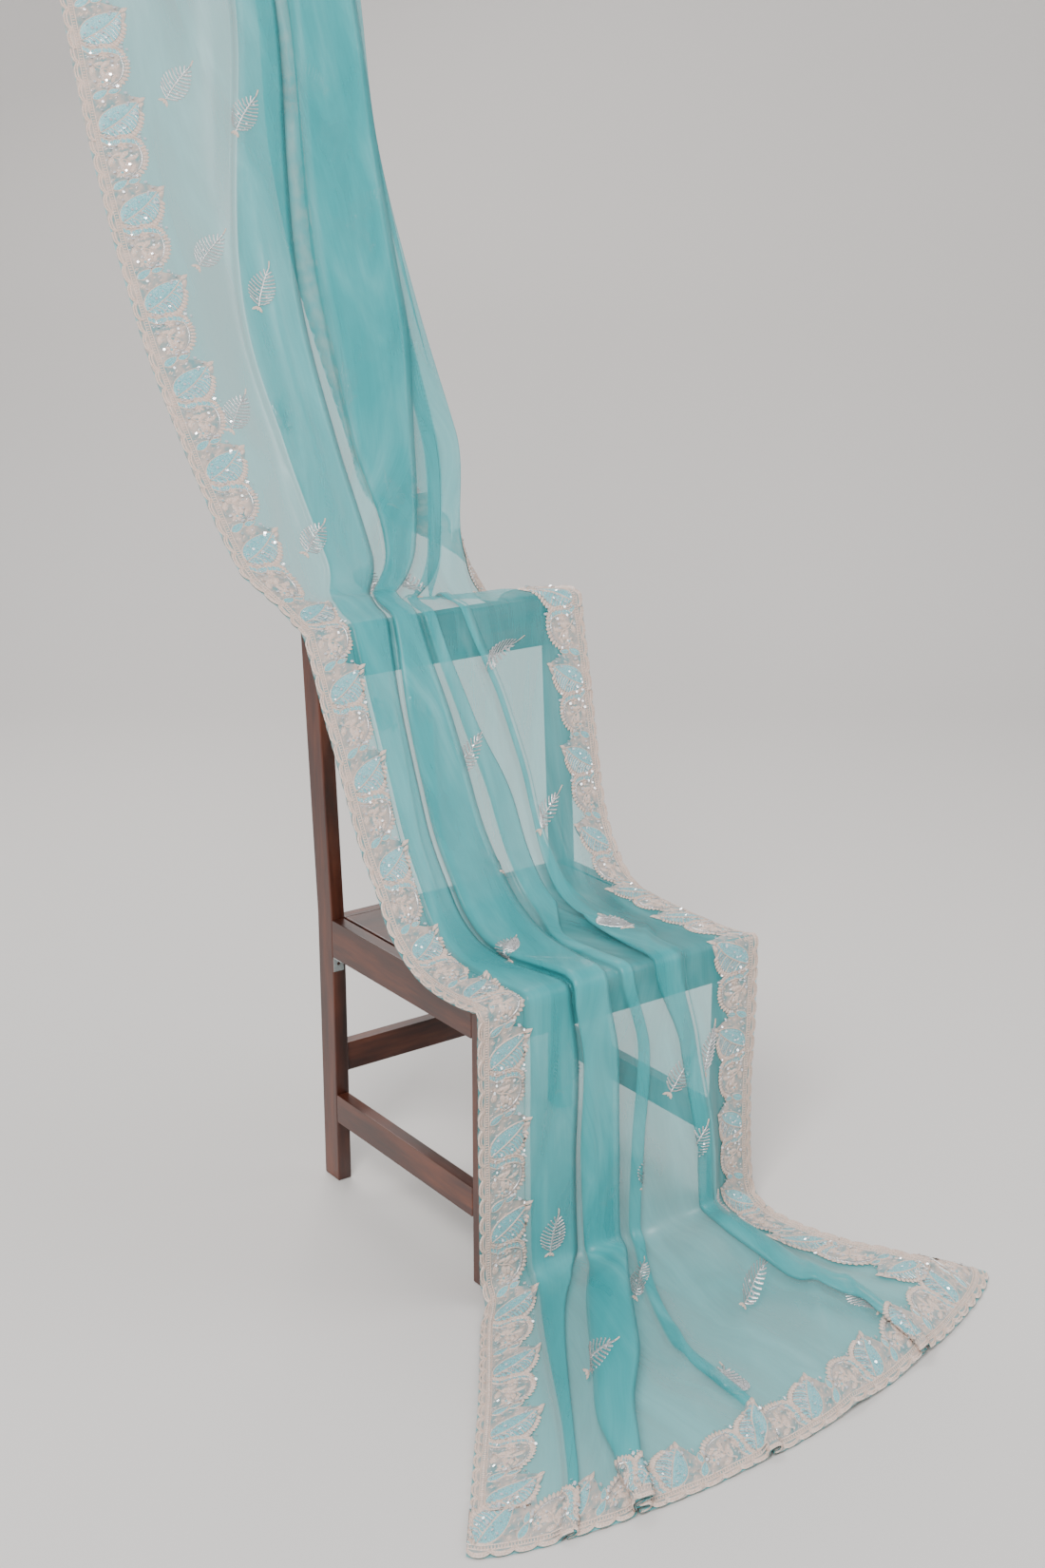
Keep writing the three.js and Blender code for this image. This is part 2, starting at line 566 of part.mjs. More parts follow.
// Origin: the middle of the underside of the whole object's box
saree.updateMatrixWorld(true);
const bounds = new THREE.Box3().setFromObject(saree, true);
saree.position.set(-(bounds.min.x + bounds.max.x) / 2, -(bounds.min.y + bounds.max.y) / 2, -bounds.min.z);
saree.updateMatrixWorld(true);

export default saree;
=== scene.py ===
import math

import bpy
import numpy as np
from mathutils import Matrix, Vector


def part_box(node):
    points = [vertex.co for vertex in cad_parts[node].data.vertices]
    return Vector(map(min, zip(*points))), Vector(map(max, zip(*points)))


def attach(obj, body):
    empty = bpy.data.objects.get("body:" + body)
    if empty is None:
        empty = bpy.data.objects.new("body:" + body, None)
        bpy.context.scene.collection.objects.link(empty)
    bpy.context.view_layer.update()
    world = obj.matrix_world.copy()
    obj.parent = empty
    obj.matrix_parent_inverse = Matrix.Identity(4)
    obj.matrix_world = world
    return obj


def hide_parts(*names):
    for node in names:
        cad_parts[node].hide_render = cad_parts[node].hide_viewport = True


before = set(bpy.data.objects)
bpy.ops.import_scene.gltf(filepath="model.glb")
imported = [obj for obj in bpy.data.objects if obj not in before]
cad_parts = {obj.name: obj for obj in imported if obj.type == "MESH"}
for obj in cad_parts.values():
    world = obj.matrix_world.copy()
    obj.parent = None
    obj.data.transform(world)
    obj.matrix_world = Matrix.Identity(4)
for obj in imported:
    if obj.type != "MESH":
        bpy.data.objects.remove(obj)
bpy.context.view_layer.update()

# Cloth sizes
CLOTH_WALL = 1.6
FLAT_WIDTH = 1118
BORDER_WIDTH = 88
RIM = 8
OVERHANG = 22
FLAP_BEND_RADIUS = 3.5
STRAIGHT_BEND = 0.01
BOW_FULLNESS = 0.6
SHOULDER_WIDE = 14
SHOULDER_SHARE = 0.8
ROW_PITCH = 8
COLUMN_PITCH = 6
CHAIR_HALF_WIDTH = 238
CHAIR_HALF_DEPTH = 200
LAST_ROW_MARGIN = 0.001

# Fold sizes. FOLD_RISE is how a fold rises from the cloth at its back: (reach, further reach where the fold
# leans, share of its lift). UPPER_TURN_LEAN and LOWER_TURN_LEAN are how far its turns at the back lean.
FULL_LAP = 16
FOLD_RISE = [(-7, -3, 0), (-5, 4, 0.1), (-3, -10, 0.8), (2, -7, 1)]
UPPER_TURN_LEAN = 10
LOWER_TURN_LEAN = 5
INNER_CREST_INSET = 4
RIDGE_HALF_WIDTH = 24
RIDGE_RISE = 2
BULGE_SPREAD = 62

# Where the cloth runs, from the floor end upward: one row for each cross-section. left and right are the
# cloth's two edges, out is the way its folds stand (degrees up from level), bow is how far the middle of the
# section runs ahead of its edges, inset is the right fold line's distance from the right end, flap is the
# cloth's width beyond that line and turn is how far it is folded back (degrees), left_droop and right_droop
# are how far the edges hang down past the seat's sides (degrees). A row that stops at bow has USUAL_SIDES.
SECTION_COLUMNS = [
    "name", "left", "right", "out", "bow", "inset", "flap", "turn", "left_droop", "right_droop",
]
USUAL_SIDES = [103, 103, 0, 0, 0]
SECTIONS = [
    ["hem", (-606, -674, 0.8), (400, -580, 0.8), 90, 110],
    ["hem_inner", (-539, -586, 0.8), (346, -486, 0.8), 90, 108],
    ["floor_low", (-492, -524, 0.8), (328, -448, 0.8), 90, 88],
    ["floor_mid", (-415, -423, 0.8), (300, -402, 0.8), 84, 52],
    ["floor_high", (-306, -272, 0.8), (272, -318, 0.8), 66, 10],
    ["floor_turn", (-267, -227, 7), (264, -246, 5), 46, 0],
    ["drop_foot", (-262, -208, 31), (262, -214, 31), 34, 0],
    ["drop_low", (-262, -205, 184), (257, -206, 190), 8, 0],
    ["drop_high", (-262, -204.5, 333), (262, -205, 320), 0, 0],
    ["drop_top", (-262, -204.5, 436), (262, -204.5, 436), 6, 0],
    ["front_edge", (-262, -204, 454), (262, -204, 454), 45, 0, 103, 103, 0, 8, 12],
    ["seat_lip", (-262, -194, 456.2), (262, -194, 456.2), 80, 0, 103, 103, 0, 18, 24],
    ["seat_1", (-262, -150, 454.8), (262, -144, 454.8), 90, 0, 103, 103, 0, 30, 46],
    ["seat_2", (-262, -92, 454.8), (262, -53, 454.8), 90, 0, 103, 103, 0, 26, 54],
    ["seat_3", (-262, -29, 464), (262, 43, 455.5), 72, 0, 103, 103, 0, 4, 46],
    ["bridge_1", (-262, 21, 499), (262, 105, 461), 52, 0, 103, 103, 0, 0, 14],
    ["bridge_2", (-262, 58, 553), (262, 157, 512), 38, 0],
    ["bridge_3", (-262, 98, 609), (262, 186, 585), 30, 0],
    ["back_1", (-262, 131, 670), (262, 204, 672), 24, 0],
    ["back_2", (-262, 171, 747), (262, 221, 765), 22, 0],
    ["back_3", (-262, 209, 822), (262, 237, 842), 20, 0],
    ["rail_front", (-262, 243, 893), (262, 247, 893), 28, 0],
    ["rail_edge", (-262, 252, 909.5), (262, 253, 908), 55, 0],
    ["rail_top", (-263, 278, 920), (260, 280, 910.5), 72, 0],
    ["rail_back", (-269, 306, 938), (246, 306, 908), 66, 0, 103, 103, 4, 0, 0],
    ["dip_low", (-279, 326, 953), (216, 330, 884), 56, 0, 96, 104, 16, 0, 0],
    ["dip_high", (-290, 343, 968), (186, 341, 898), 42, 0, 84, 106, 30, 0, 0],
    ["fall_1", (-305, 366, 993), (160, 362, 984), 32, 0, 62, 110, 56, 0, 0],
    ["fall_2", (-330, 458, 1142), (126, 409, 1168), 26, 0, 2, 190, 172, 0, 0],
    ["fall_3", (-354, 549, 1321), (86, 454, 1363), 22, 0, 2, 190, 176, 0, 0],
    ["fall_4", (-377, 633, 1571), (43, 497, 1610), 18, 0, 2, 180, 176, 0, 0],
    ["fall_5", (-389, 698, 1816), (25, 510, 1820), 14, 0, 2, 170, 176, 0, 0],
    ["fall_end", (-392, 713, 1880), (20, 514, 1884), 12, 0, 2, 170, 176, 0, 0],
]
SECTIONS = [dict(zip(SECTION_COLUMNS, row + USUAL_SIDES[len(row) - 5:])) for row in SECTIONS]

# The lengthwise folds, left to right. crest is the fold edge's distance from the left edge, lap is how far
# its layers lie over each other, lift is the crest's height over the cloth, bulge is how far the cloth stands
# up around it. toward is +1 for an edge that faces right and -1 for left, and lean is how far the top
# layer leans out over the foot, as a share of the lean sizes.
FOLD_SECTIONS = [
    "hem", "hem_inner", "floor_low", "floor_mid", "floor_turn", "drop_foot", "drop_low", "drop_high",
    "front_edge", "seat_2", "bridge_1", "bridge_3", "back_2", "rail_top",
    "fall_1", "fall_2", "fall_3", "fall_end",
]
FOLDS = {
    "inner_fold": {
        "layers": 3, "toward": 1, "lean": 0,
        "crest": [126, 126, 127, 128, 146, 166, 168, 175, 161, 139, 141, 136, 137, 155, 238, 248, 262, 326],
        "lap": [17, 17, 17, 24, 57, 78, 81, 88, 75, 54, 56, 51, 52, 67, 88, 94, 100, 64],
        "lift": [9, 9, 9, 9, 11, 11, 10, 10, 9, 9, 9, 9, 9, 10, 11, 12, 13, 13],
        "bulge": [0] * 18,
    },
    "main_fold": {
        "layers": 5, "toward": 1, "lean": 1,
        "crest": [232, 216, 220, 244, 236, 234, 240, 240, 222, 233, 255, 238, 221, 196, 312, 379, 428, 448],
        "lap": [20, 30, 50, 72, 60, 56, 64, 56, 52, 84, 104, 92, 74, 32, 48, 104, 132, 98],
        "lift": [24, 24, 24, 24, 24, 24, 22, 22, 20, 20, 22, 22, 21, 20, 22, 24, 25, 25],
        "bulge": [0, 0, 4, 14, 26, 22, 8, 2] + [0] * 10,
    },
    "narrow_pleat": {
        "layers": 3, "toward": 1, "lean": 0,
        "crest": [440, 410, 373, 312, 276, 278, 288, 300, 272, 266, 331, 325, 268, 236, 346, 398, 404, 404],
        "lap": [17, 17, 17, 17, 17, 17, 17, 17, 18, 17, 44, 48, 26, 18, 0, 0, 0, 0],
        "lift": [12, 13, 16, 19, 19, 18, 14, 12, 10, 9, 10, 10, 10, 9, 5, 0, 0, 0],
        "bulge": [0] * 18,
    },
    "window_ridge": {
        "layers": 1, "toward": 1, "lean": 0,
        "crest": [590, 552, 508, 432, 330, 326, 324, 322, 292, 292, 336, 332, 286, 249, 356, 408, 414, 414],
        "lap": [0] * 18,
        "lift": [12, 14, 16, 14, 6, 2] + [0] * 12,
        "bulge": [0] * 18,
    },
    "right_fold": {
        "layers": 3, "toward": -1, "lean": 0,
        "crest": [745, 702, 640, 518, 356, 350, 348, 346, 309, 321, 345, 352, 324, 280, 366, 418, 424, 424],
        "lap": [20, 24, 38, 52, 38, 38, 38, 38, 58, 52, 26, 17, 17, 17, 0, 0, 0, 0],
        "lift": [12, 14, 14, 14, 14, 14, 13, 12, 11, 11, 10, 9, 9, 8, 0, 0, 0, 0],
        "bulge": [4, 6, 14, 30, 84, 80, 58, 22, 2] + [0] * 9,
    },
}
RIGHT_RIDGE_LIFT = [2, 3, 4, 5, 6, 5, 4, 4, 4, 4, 12, 14, 12, 5, 2, 0, 0, 0]

# Small creases: both ends, as (distance from the left edge, distance from the hem), height and half width
CREASES = [
    [(330, 110), (300, 330), 10.5, 9],
    [(480, 100), (400, 260), 9, 10],
    [(620, 110), (560, 220), 12, 14],
    [(700, 100), (640, 180), 9, 10],
    [(330, 300), (520, 220), 9, 12],
    [(180, 330), (120, 420), 9, 12],
    [(330, 470), (330, 760), 6, 9],
    [(200, 420), (170, 800), 4.5, 10],
    [(385, 520), (300, 660), 6, 12],
    [(330, 880), (420, 1010), 7.5, 9],
    [(350, 1010), (300, 1180), 7.5, 8],
    [(390, 1050), (352, 1280), 9, 8],
    [(420, 1120), (380, 1400), 7.5, 8],
    [(110, 1120), (116, 1560), 6, 7],
    [(160, 1300), (176, 1500), 4.5, 8],
    [(330, 1400), (260, 1580), 6, 8],
    [(130, 1700), (160, 2100), 7.5, 12],
    [(200, 1750), (230, 2500), 6, 10],
    [(300, 2000), (330, 2700), 6, 10],
    [(170, 2200), (240, 2800), 7.5, 12],
]


# Curves through table rows
def hermite(knots, values, slopes, at):
    at = np.asarray(at, float)
    i = np.clip(np.searchsorted(knots, at, side="left") - 1, 0, len(knots) - 2)
    span = knots[i + 1] - knots[i]
    t = np.clip((at - knots[i]) / span, 0, 1)
    t2 = t * t
    t3 = t2 * t
    return (
        (2 * t3 - 3 * t2 + 1) * values[i] + (t3 - 2 * t2 + t) * span * slopes[i]
        + (3 * t2 - 2 * t3) * values[i + 1] + (t3 - t2) * span * slopes[i + 1]
    )


def path_curve(knots, values, at):
    values = np.array(values, float)
    last = len(values) - 1
    before = np.maximum(0, np.arange(last + 1) - 1)
    after = np.minimum(last, np.arange(last + 1) + 1)
    slopes = (values[after] - values[before]) / (knots[after] - knots[before])
    return hermite(knots, values, slopes, at)


def steady_curve(knots, values, at):
    values = np.array(values, float)
    rises = np.diff(values) / np.diff(knots)
    slopes = np.zeros(len(values))
    for i in range(1, len(values) - 1):
        before, after = rises[i - 1], rises[i]
        if before * after > 0:
            slopes[i] = 2 * before * after / (before + after)
    return hermite(knots, values, slopes, at)


def smooth(t):
    t = np.clip(t, 0, 1)
    return t * t * (3 - 2 * t)


# Ways brought to a length of one. TINY keeps a way without length from dividing by zero.
TINY = 1e-9


def unit(ways):
    return ways / np.maximum(np.linalg.norm(ways, axis=-1, keepdims=True), TINY)


# The distance from a line's start to each of its points
def line_length(line):
    return np.concatenate([[0], np.cumsum(np.linalg.norm(np.diff(line, axis=0), axis=1))])


KNOTS = line_length([np.add(s["left"], s["right"]) / 2 for s in SECTIONS])
ALONG_OF = {s["name"]: KNOTS[i] for i, s in enumerate(SECTIONS)}
FOLD_KNOTS = np.array([ALONG_OF[name] for name in FOLD_SECTIONS])
ROWS = np.linspace(0, KNOTS[-1], int(KNOTS[-1] / ROW_PITCH) + 1)


def size_at_rows(column):
    return steady_curve(KNOTS, [s[column] for s in SECTIONS], ROWS)


# A fold's section as (distance from its crest, share of its lift), from its foot to its lowest layer
def fold_outline(layers, lap, lean):
    if layers == 1:
        return [(-RIDGE_HALF_WIDTH, 0), (0, 1), (RIDGE_HALF_WIDTH, 0)]
    back = -lap
    levels = layers - 1
    outline = [(back + reach + leaning * lean, height) for reach, leaning, height in FOLD_RISE]
    for level in range(levels, 0, -2):
        upper = level == levels
        edge = 0 if upper else -INNER_CREST_INSET
        turn = back - (UPPER_TURN_LEAN if upper else LOWER_TURN_LEAN) * lean
        outline += [(edge, level / levels), (edge, (level - 1) / levels)]
        outline += [(turn, (level - 1) / levels), (turn, (level - 2) / levels)]
    return outline


# The soft ridge that a fold runs out into, with as many columns as the fold has, RIDGE_RISE before its crest
def ridge_outline(count):
    outline = []
    for i in range(count):
        share = i / RIDGE_RISE - 1 if i < RIDGE_RISE else (i - RIDGE_RISE) / (count - 1 - RIDGE_RISE)
        outline.append((RIDGE_HALF_WIDTH * share, math.cos(share * math.pi / 2) ** 2))
    return outline


def fold_columns(sizes, fold):
    crest, lap, lift = sizes["crest"], sizes["lap"], sizes["lift"]
    folded = fold_outline(fold["layers"], max(lap, FULL_LAP), fold["lean"])
    ridge = folded if fold["layers"] == 1 else ridge_outline(len(folded))
    share = smooth(lap / FULL_LAP)
    outline = [[r + (f - r) * share for r, f in zip(a, b)] for a, b in zip(ridge, folded)]
    if fold["toward"] < 0:
        outline.reverse()
    return [[crest + fold["toward"] * across, lift * height] for across, height in outline]


def falling(angle):
    return np.array([math.cos(angle), -math.sin(angle)])


# The right side: a shoulder, the fold line, and the cloth beyond it, bent back and drooping at its edge
def right_columns(width, lift, inset, flap, turned, drooped):
    crest = width - inset
    turn = math.asin(lift / flap) + math.radians(turned)
    droop = math.radians(drooped)
    bend_length = FLAP_BEND_RADIUS * math.pi
    columns = [[crest - SHOULDER_WIDE, lift * SHOULDER_SHARE]]
    for reach in [0, bend_length / 2, bend_length] + [flap - r for r in (BORDER_WIDTH, OVERHANG, RIM, 0)]:
        bend = turn * min(1, reach / bend_length)
        chord = min(reach, bend_length) * (math.sin(bend / 2) / (bend / 2) if bend > STRAIGHT_BEND else 1)
        straight = max(0, min(reach, flap - OVERHANG) - bend_length)
        hanging = max(0, reach - (flap - OVERHANG))
        path = chord * falling(bend / 2) + straight * falling(turn) + hanging * falling(turn + droop)
        columns.append([crest, lift] + path)
    return columns


def left_columns(drooped):
    droop = math.radians(drooped)
    columns = []
    for reach in (0, RIM, OVERHANG, BORDER_WIDTH):
        hanging = max(0, OVERHANG - reach)
        columns.append([max(reach, OVERHANG) - hanging * math.cos(droop), -hanging * math.sin(droop)])
    return columns


def edge_line(side):
    line = np.stack([path_curve(KNOTS, [s[side][k] for s in SECTIONS], ROWS) for k in range(3)], axis=1)
    line[:, 2] = np.maximum(line[:, 2], CLOTH_WALL / 2)
    return line


# Edges and sizes at every row
count_rows = len(ROWS)
left_edge = edge_line("left")
right_edge = edge_line("right")
across_way = right_edge - left_edge
widths = np.linalg.norm(across_way, axis=1)
across_way /= widths[:, None]
front_way = unit(np.cross(across_way, [0, 0, 1]))
up_way = np.cross(front_way, across_way)
lean = np.radians(size_at_rows("out"))
out_way = front_way * np.cos(lean)[:, None] + up_way * np.sin(lean)[:, None]
bows = size_at_rows("bow")
fold_sizes = [
    {size: steady_curve(FOLD_KNOTS, fold[size], ROWS) for size in ("crest", "lap", "lift", "bulge")}
    for fold in FOLDS.values()
]
ridge_lifts = steady_curve(FOLD_KNOTS, RIGHT_RIDGE_LIFT, ROWS)
RIGHT_SIZES = ["inset", "flap", "turn", "right_droop"]
row_sizes = {c: size_at_rows(c) for c in ["left_droop", *RIGHT_SIZES]}

controls = []
for i in range(count_rows):
    columns = left_columns(row_sizes["left_droop"][i])
    for fold, sizes in zip(FOLDS.values(), fold_sizes):
        columns += fold_columns({k: v[i] for k, v in sizes.items()}, fold)
    columns += right_columns(widths[i], ridge_lifts[i], *[row_sizes[c][i] for c in RIGHT_SIZES])
    controls.append(columns)
controls = np.array(controls)

# A smooth curve near each row's columns, with more points where the columns are far apart
spans = np.linalg.norm(np.diff(controls, axis=1), axis=2).mean(axis=0)
padded = np.concatenate([
    2 * controls[:, :1] - controls[:, 1:2], controls, 2 * controls[:, -1:] - controls[:, -2:-1],
], axis=1)
pieces_of_row = []
for j, span in enumerate(spans):
    steps = max(2, int(round(span / COLUMN_PITCH)))
    for step in range(steps + (1 if j == len(spans) - 1 else 0)):
        t = step / steps
        weights = np.array([
            (1 - t) ** 3, 3 * t**3 - 6 * t**2 + 4, -3 * t**3 + 3 * t**2 + 3 * t + 1, t**3,
        ]) / 6
        pieces_of_row.append(np.tensordot(padded[:, j:j + 4], weights, axes=([1], [0])))
profile = np.stack(pieces_of_row, axis=1)
count_columns = profile.shape[1]
across = profile[:, :, 0]
height = profile[:, :, 1]


# A faint ripple: the pitch of each wave across and along the cloth, its start and its share
RIPPLES = [(19, 140, 0, 1), (31, -95, 2, 1), (11, 60, 0, 0.6)]
RIPPLE_HIGH = 0.55
RIPPLE_BASE = 2.6
RIPPLE_FADE = 30
CREASE_WANDER = 6
CREASE_WANDER_TURN = 5
CREASE_FADE_POWER = 0.8
CREASE_SHARPNESS = 1.15
EDGE_WAVE_START = 30
EDGE_WAVE_FADE = 90
EDGE_WAVE_HIGH = 0.8
EDGE_WAVE_PITCH = 27
EDGE_WAVE_WANDER = 1.3
EDGE_WAVE_WANDER_PITCH = 61


# How far the whole cloth stands up around its folds and creases, with the ripple and a waving left edge
def standing(across, rows):
    total = np.zeros_like(across)
    for fold, sizes in zip(FOLDS.values(), fold_sizes):
        centre = sizes["crest"] - fold["toward"] * sizes["lap"] / 2
        total += sizes["bulge"][:, None] * np.exp(-(((across - centre[:, None]) / BULGE_SPREAD) ** 2))
    along = np.broadcast_to(rows[:, None], across.shape)
    for start, end, high, half_width in CREASES:
        run = np.subtract(end, start)
        length = np.linalg.norm(run)
        way = run / length
        off_across = across - start[0]
        off_along = along - start[1]
        reach = (off_across * way[0] + off_along * way[1]) / length
        beside = off_across * way[1] - off_along * way[0] + CREASE_WANDER * np.sin(reach * CREASE_WANDER_TURN)
        fade = np.sin(np.pi * np.clip(reach, 0, 1)) ** CREASE_FADE_POWER
        total += high * fade * np.exp(-np.abs(beside / half_width) ** CREASE_SHARPNESS)
    inside = smooth((across - BORDER_WIDTH) / RIPPLE_FADE)
    inside = inside * smooth((widths[:, None] - BORDER_WIDTH - across) / RIPPLE_FADE)
    ripple = sum(share * np.sin(across / wide + along / long + start) for wide, long, start, share in RIPPLES)
    total += inside * RIPPLE_HIGH * (ripple + RIPPLE_BASE)
    edge = 1 - smooth((across - EDGE_WAVE_START) / EDGE_WAVE_FADE)
    wander = EDGE_WAVE_WANDER * np.sin(along / EDGE_WAVE_WANDER_PITCH)
    total += edge * EDGE_WAVE_HIGH * (1 + np.sin(along / EDGE_WAVE_PITCH + wander))
    return total


share = np.clip(across / widths[:, None], 0, 1)
stand = height + standing(across, ROWS)
surface = (
    left_edge[:, None] + across_way[:, None] * across[:, :, None] + out_way[:, None] * stand[:, :, None]
    + front_way[:, None] * (bows[:, None] * np.sin(np.pi * share) ** BOW_FULLNESS)[:, :, None]
)
surface[:, :, 2] = np.maximum(surface[:, :, 2], CLOTH_WALL / 2)

# Flat coordinates: arc is the distance from the left edge along each row
arc = np.concatenate([
    np.zeros((count_rows, 1)), np.cumsum(np.linalg.norm(np.diff(surface, axis=1), axis=2), axis=1),
], axis=1)
arc_total = arc[:, -1]
facing = unit(np.cross(np.gradient(surface, axis=1), np.gradient(surface, axis=0)))
left_length = line_length(surface[:, 0])
right_length = line_length(surface[:, -1])

# From the chair's frame in millimetres to the row frame in metres: the left front leg gives the shift
leg_low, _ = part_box("front_leg_left")
SHIFT = np.array(leg_low) * 1000 + [CHAIR_HALF_WIDTH, CHAIR_HALF_DEPTH, 0]


def to_row(points):
    return (np.asarray(points, float) + SHIFT) / 1000


# Points given as distance from the left edge and distance from the hem, laid on the cloth and lifted off it
def lay(from_left, from_hem, lift):
    from_left, from_hem, lift = (np.asarray(a, float).ravel() for a in (from_left, from_hem, lift))
    at = np.clip(from_hem / KNOTS[-1] * (count_rows - 1), 0, count_rows - 1 - LAST_ROW_MARGIN)
    low = at.astype(int)
    part = (at - low)[:, None]
    found = np.zeros((len(at), 2, 6))
    for side in (0, 1):
        rows = low + side
        for row in np.unique(rows):
            here = rows == row
            for k in range(3):
                found[here, side, k] = np.interp(from_left[here], arc[row], surface[row, :, k])
                found[here, side, k + 3] = np.interp(from_left[here], arc[row], facing[row, :, k])
    mixed = found[:, 0] * (1 - part) + found[:, 1] * part
    return mixed[:, :3] + unit(mixed[:, 3:]) * lift[:, None]


# The side strips to sew on: distance along the strip and reach in from its outer edge. The end strip is laid
# as it is.
def on_left(along_strip, reach, lift):
    return lay(reach, np.interp(along_strip, left_length, ROWS), lift)


def on_right(along_strip, reach, lift):
    from_hem = np.interp(along_strip, right_length, ROWS)
    total = np.interp(from_hem, ROWS, arc_total)
    return lay(total - np.asarray(reach), from_hem, lift)


# Objects and meshes
def add_object(name, data):
    made = bpy.data.objects.new(name, data)
    bpy.context.scene.collection.objects.link(made)
    return made


def mesh_piece(name, points, faces, material, smooth_shading=True):
    data = bpy.data.meshes.new(name)
    data.from_pydata([tuple(p) for p in to_row(points)], [], [tuple(int(i) for i in f) for f in faces])
    data.update()
    if smooth_shading:
        data.shade_smooth()
    data.materials.append(material)
    piece = add_object(name, data)
    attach(piece, "root")
    return piece


def grid_faces(rows, columns):
    index = np.arange(rows * columns).reshape(rows, columns)
    return np.stack([index[:-1, :-1], index[:-1, 1:], index[1:, 1:], index[1:, :-1]], axis=-1).reshape(-1, 4)


# The flat coordinates of a piece's points in millimetres, kept in metres
def add_flat_map(piece, first, second):
    layer = piece.data.uv_layers.new(name="flat")
    loops = np.zeros(len(piece.data.loops), np.int32)
    piece.data.loops.foreach_get("vertex_index", loops)
    flat = np.stack([np.ravel(first)[loops], np.ravel(second)[loops]], axis=1) / 1000
    layer.data.foreach_set("uv", flat.astype(np.float32).ravel())


# Nodes of the materials. Noise stays mostly within NOISE_RANGE.
NOISE_RANGE = (0.3, 0.7)


# A node whose values are its own settings or its inputs' constants
def node(tree, kind, **values):
    made = tree.nodes.new(kind)
    for key, value in values.items():
        if hasattr(made, key) and key not in made.inputs:
            setattr(made, key, value)
        else:
            made.inputs[key].default_value = value
    return made


# A shader's inputs: each is a constant or takes another node's output
def set_inputs(tree, shader, values):
    for name, value in values.items():
        if isinstance(value, bpy.types.NodeSocket):
            tree.links.new(value, shader.inputs[name])
        else:
            shader.inputs[name].default_value = value


def scaled(tree, source, scale):
    mapping = node(tree, "ShaderNodeMapping", Scale=scale)
    tree.links.new(source, mapping.inputs["Vector"])
    return mapping.outputs["Vector"]


def flat_coordinates(tree, across_scale, along_scale):
    uv = node(tree, "ShaderNodeUVMap", uv_map="flat")
    return scaled(tree, uv.outputs["UV"], (across_scale, along_scale, 1))


def own_coordinates(tree, scale=(1, 1, 1)):
    place = node(tree, "ShaderNodeTexCoord")
    return scaled(tree, place.outputs["Object"], scale)


def texture(tree, kind, coordinates, output="Fac", **values):
    made = node(tree, f"ShaderNodeTex{kind}", **values)
    tree.links.new(coordinates, made.inputs["Vector"])
    return made.outputs[output]


def colour_ramp(tree, factor, stops):
    ramp = tree.nodes.new("ShaderNodeValToRGB")
    elements = ramp.color_ramp.elements
    while len(elements) < len(stops):
        elements.new(0.5)
    for element, (position, colour) in zip(elements, stops):
        element.position = position
        element.color = (*colour, 1)
    tree.links.new(factor, ramp.inputs["Fac"])
    return ramp.outputs["Color"]


def value_range(tree, value, low, high, from_low=0.0, from_high=1.0):
    made = node(tree, "ShaderNodeMapRange")
    set_inputs(tree, made, {
        "Value": value, "From Min": from_low, "From Max": from_high, "To Min": low, "To Max": high,
    })
    return made.outputs["Result"]


# A fine pattern, at a share, on top of a broad one that runs from 0 to high
def two_patterns(tree, fine, share, broad, high):
    made = node(tree, "ShaderNodeMath", operation="MULTIPLY_ADD")
    tree.links.new(fine, made.inputs[0])
    made.inputs[1].default_value = share
    tree.links.new(value_range(tree, broad, 0, high, *NOISE_RANGE), made.inputs[2])
    return made.outputs["Value"]


# Materials. draw gives a material's pattern and its shader's inputs, and relief is the strength and distance
# of its bump.
def material(name, draw, relief, *values):
    made = bpy.data.materials.new(name)
    made.use_nodes = True
    tree = made.node_tree
    shader = tree.nodes["Principled BSDF"]
    pattern, inputs = draw(tree, *values)
    set_inputs(tree, shader, inputs)
    if relief:
        strength, distance = relief
        bump = node(tree, "ShaderNodeBump", Strength=strength, Distance=distance)
        tree.links.new(pattern, bump.inputs["Height"])
        tree.links.new(bump.outputs["Normal"], shader.inputs["Normal"])
    return made


def organza(tree):
    threads = texture(tree, "Noise", flat_coordinates(tree, 300, 7), Scale=1.0, Detail=3.0, Roughness=0.55)
    # The broad noise is partly painted sheen: where it is high the base colour turns lighter, standing in for
    # the cloth's silvery shimmer. The same noise also varies the weave's density (alpha) and its roughness.
    painted_shimmer_and_density = texture(tree, "Noise", flat_coordinates(tree, 17, 3.5), Scale=1.0, Detail=4.0, Distortion=0.8)
    pattern = two_patterns(tree, threads, 0.22, painted_shimmer_and_density, 0.78)
    return pattern, {
        # Colour runs from darker to lighter with the noise; the lighter end is painted sheen
        "Base Color": colour_ramp(tree, pattern, [
            (0.15, (0.03, 0.4, 0.42)), (0.5, (0.05, 0.47, 0.49)), (0.9, (0.14, 0.58, 0.6)),
        ]),
        "Alpha": value_range(tree, pattern, 0.43, 0.6),
        "Roughness": value_range(tree, pattern, 0.44, 0.3),
        "Sheen Weight": 0.18,
        "Sheen Roughness": 0.35,
        "Sheen Tint": (0.55, 0.95, 0.98, 1),
    }


def border_ground(tree):
    stitches = texture(tree, "Wave", flat_coordinates(tree, 260, 90), Scale=1.0, Distortion=6.0, Detail=2.0)
    patches = texture(tree, "Noise", flat_coordinates(tree, 55, 45), Scale=1.0, Detail=3.0)
    pattern = two_patterns(tree, stitches, 0.25, patches, 0.8)
    return pattern, {
        "Base Color": colour_ramp(tree, pattern, [
            (0.15, (0.12, 0.31, 0.33)), (0.38, (0.27, 0.35, 0.34)), (0.62, (0.46, 0.39, 0.34)),
            (0.9, (0.61, 0.5, 0.43)),
        ]),
        "Roughness": 0.55,
        "Sheen Weight": 0.3,
    }


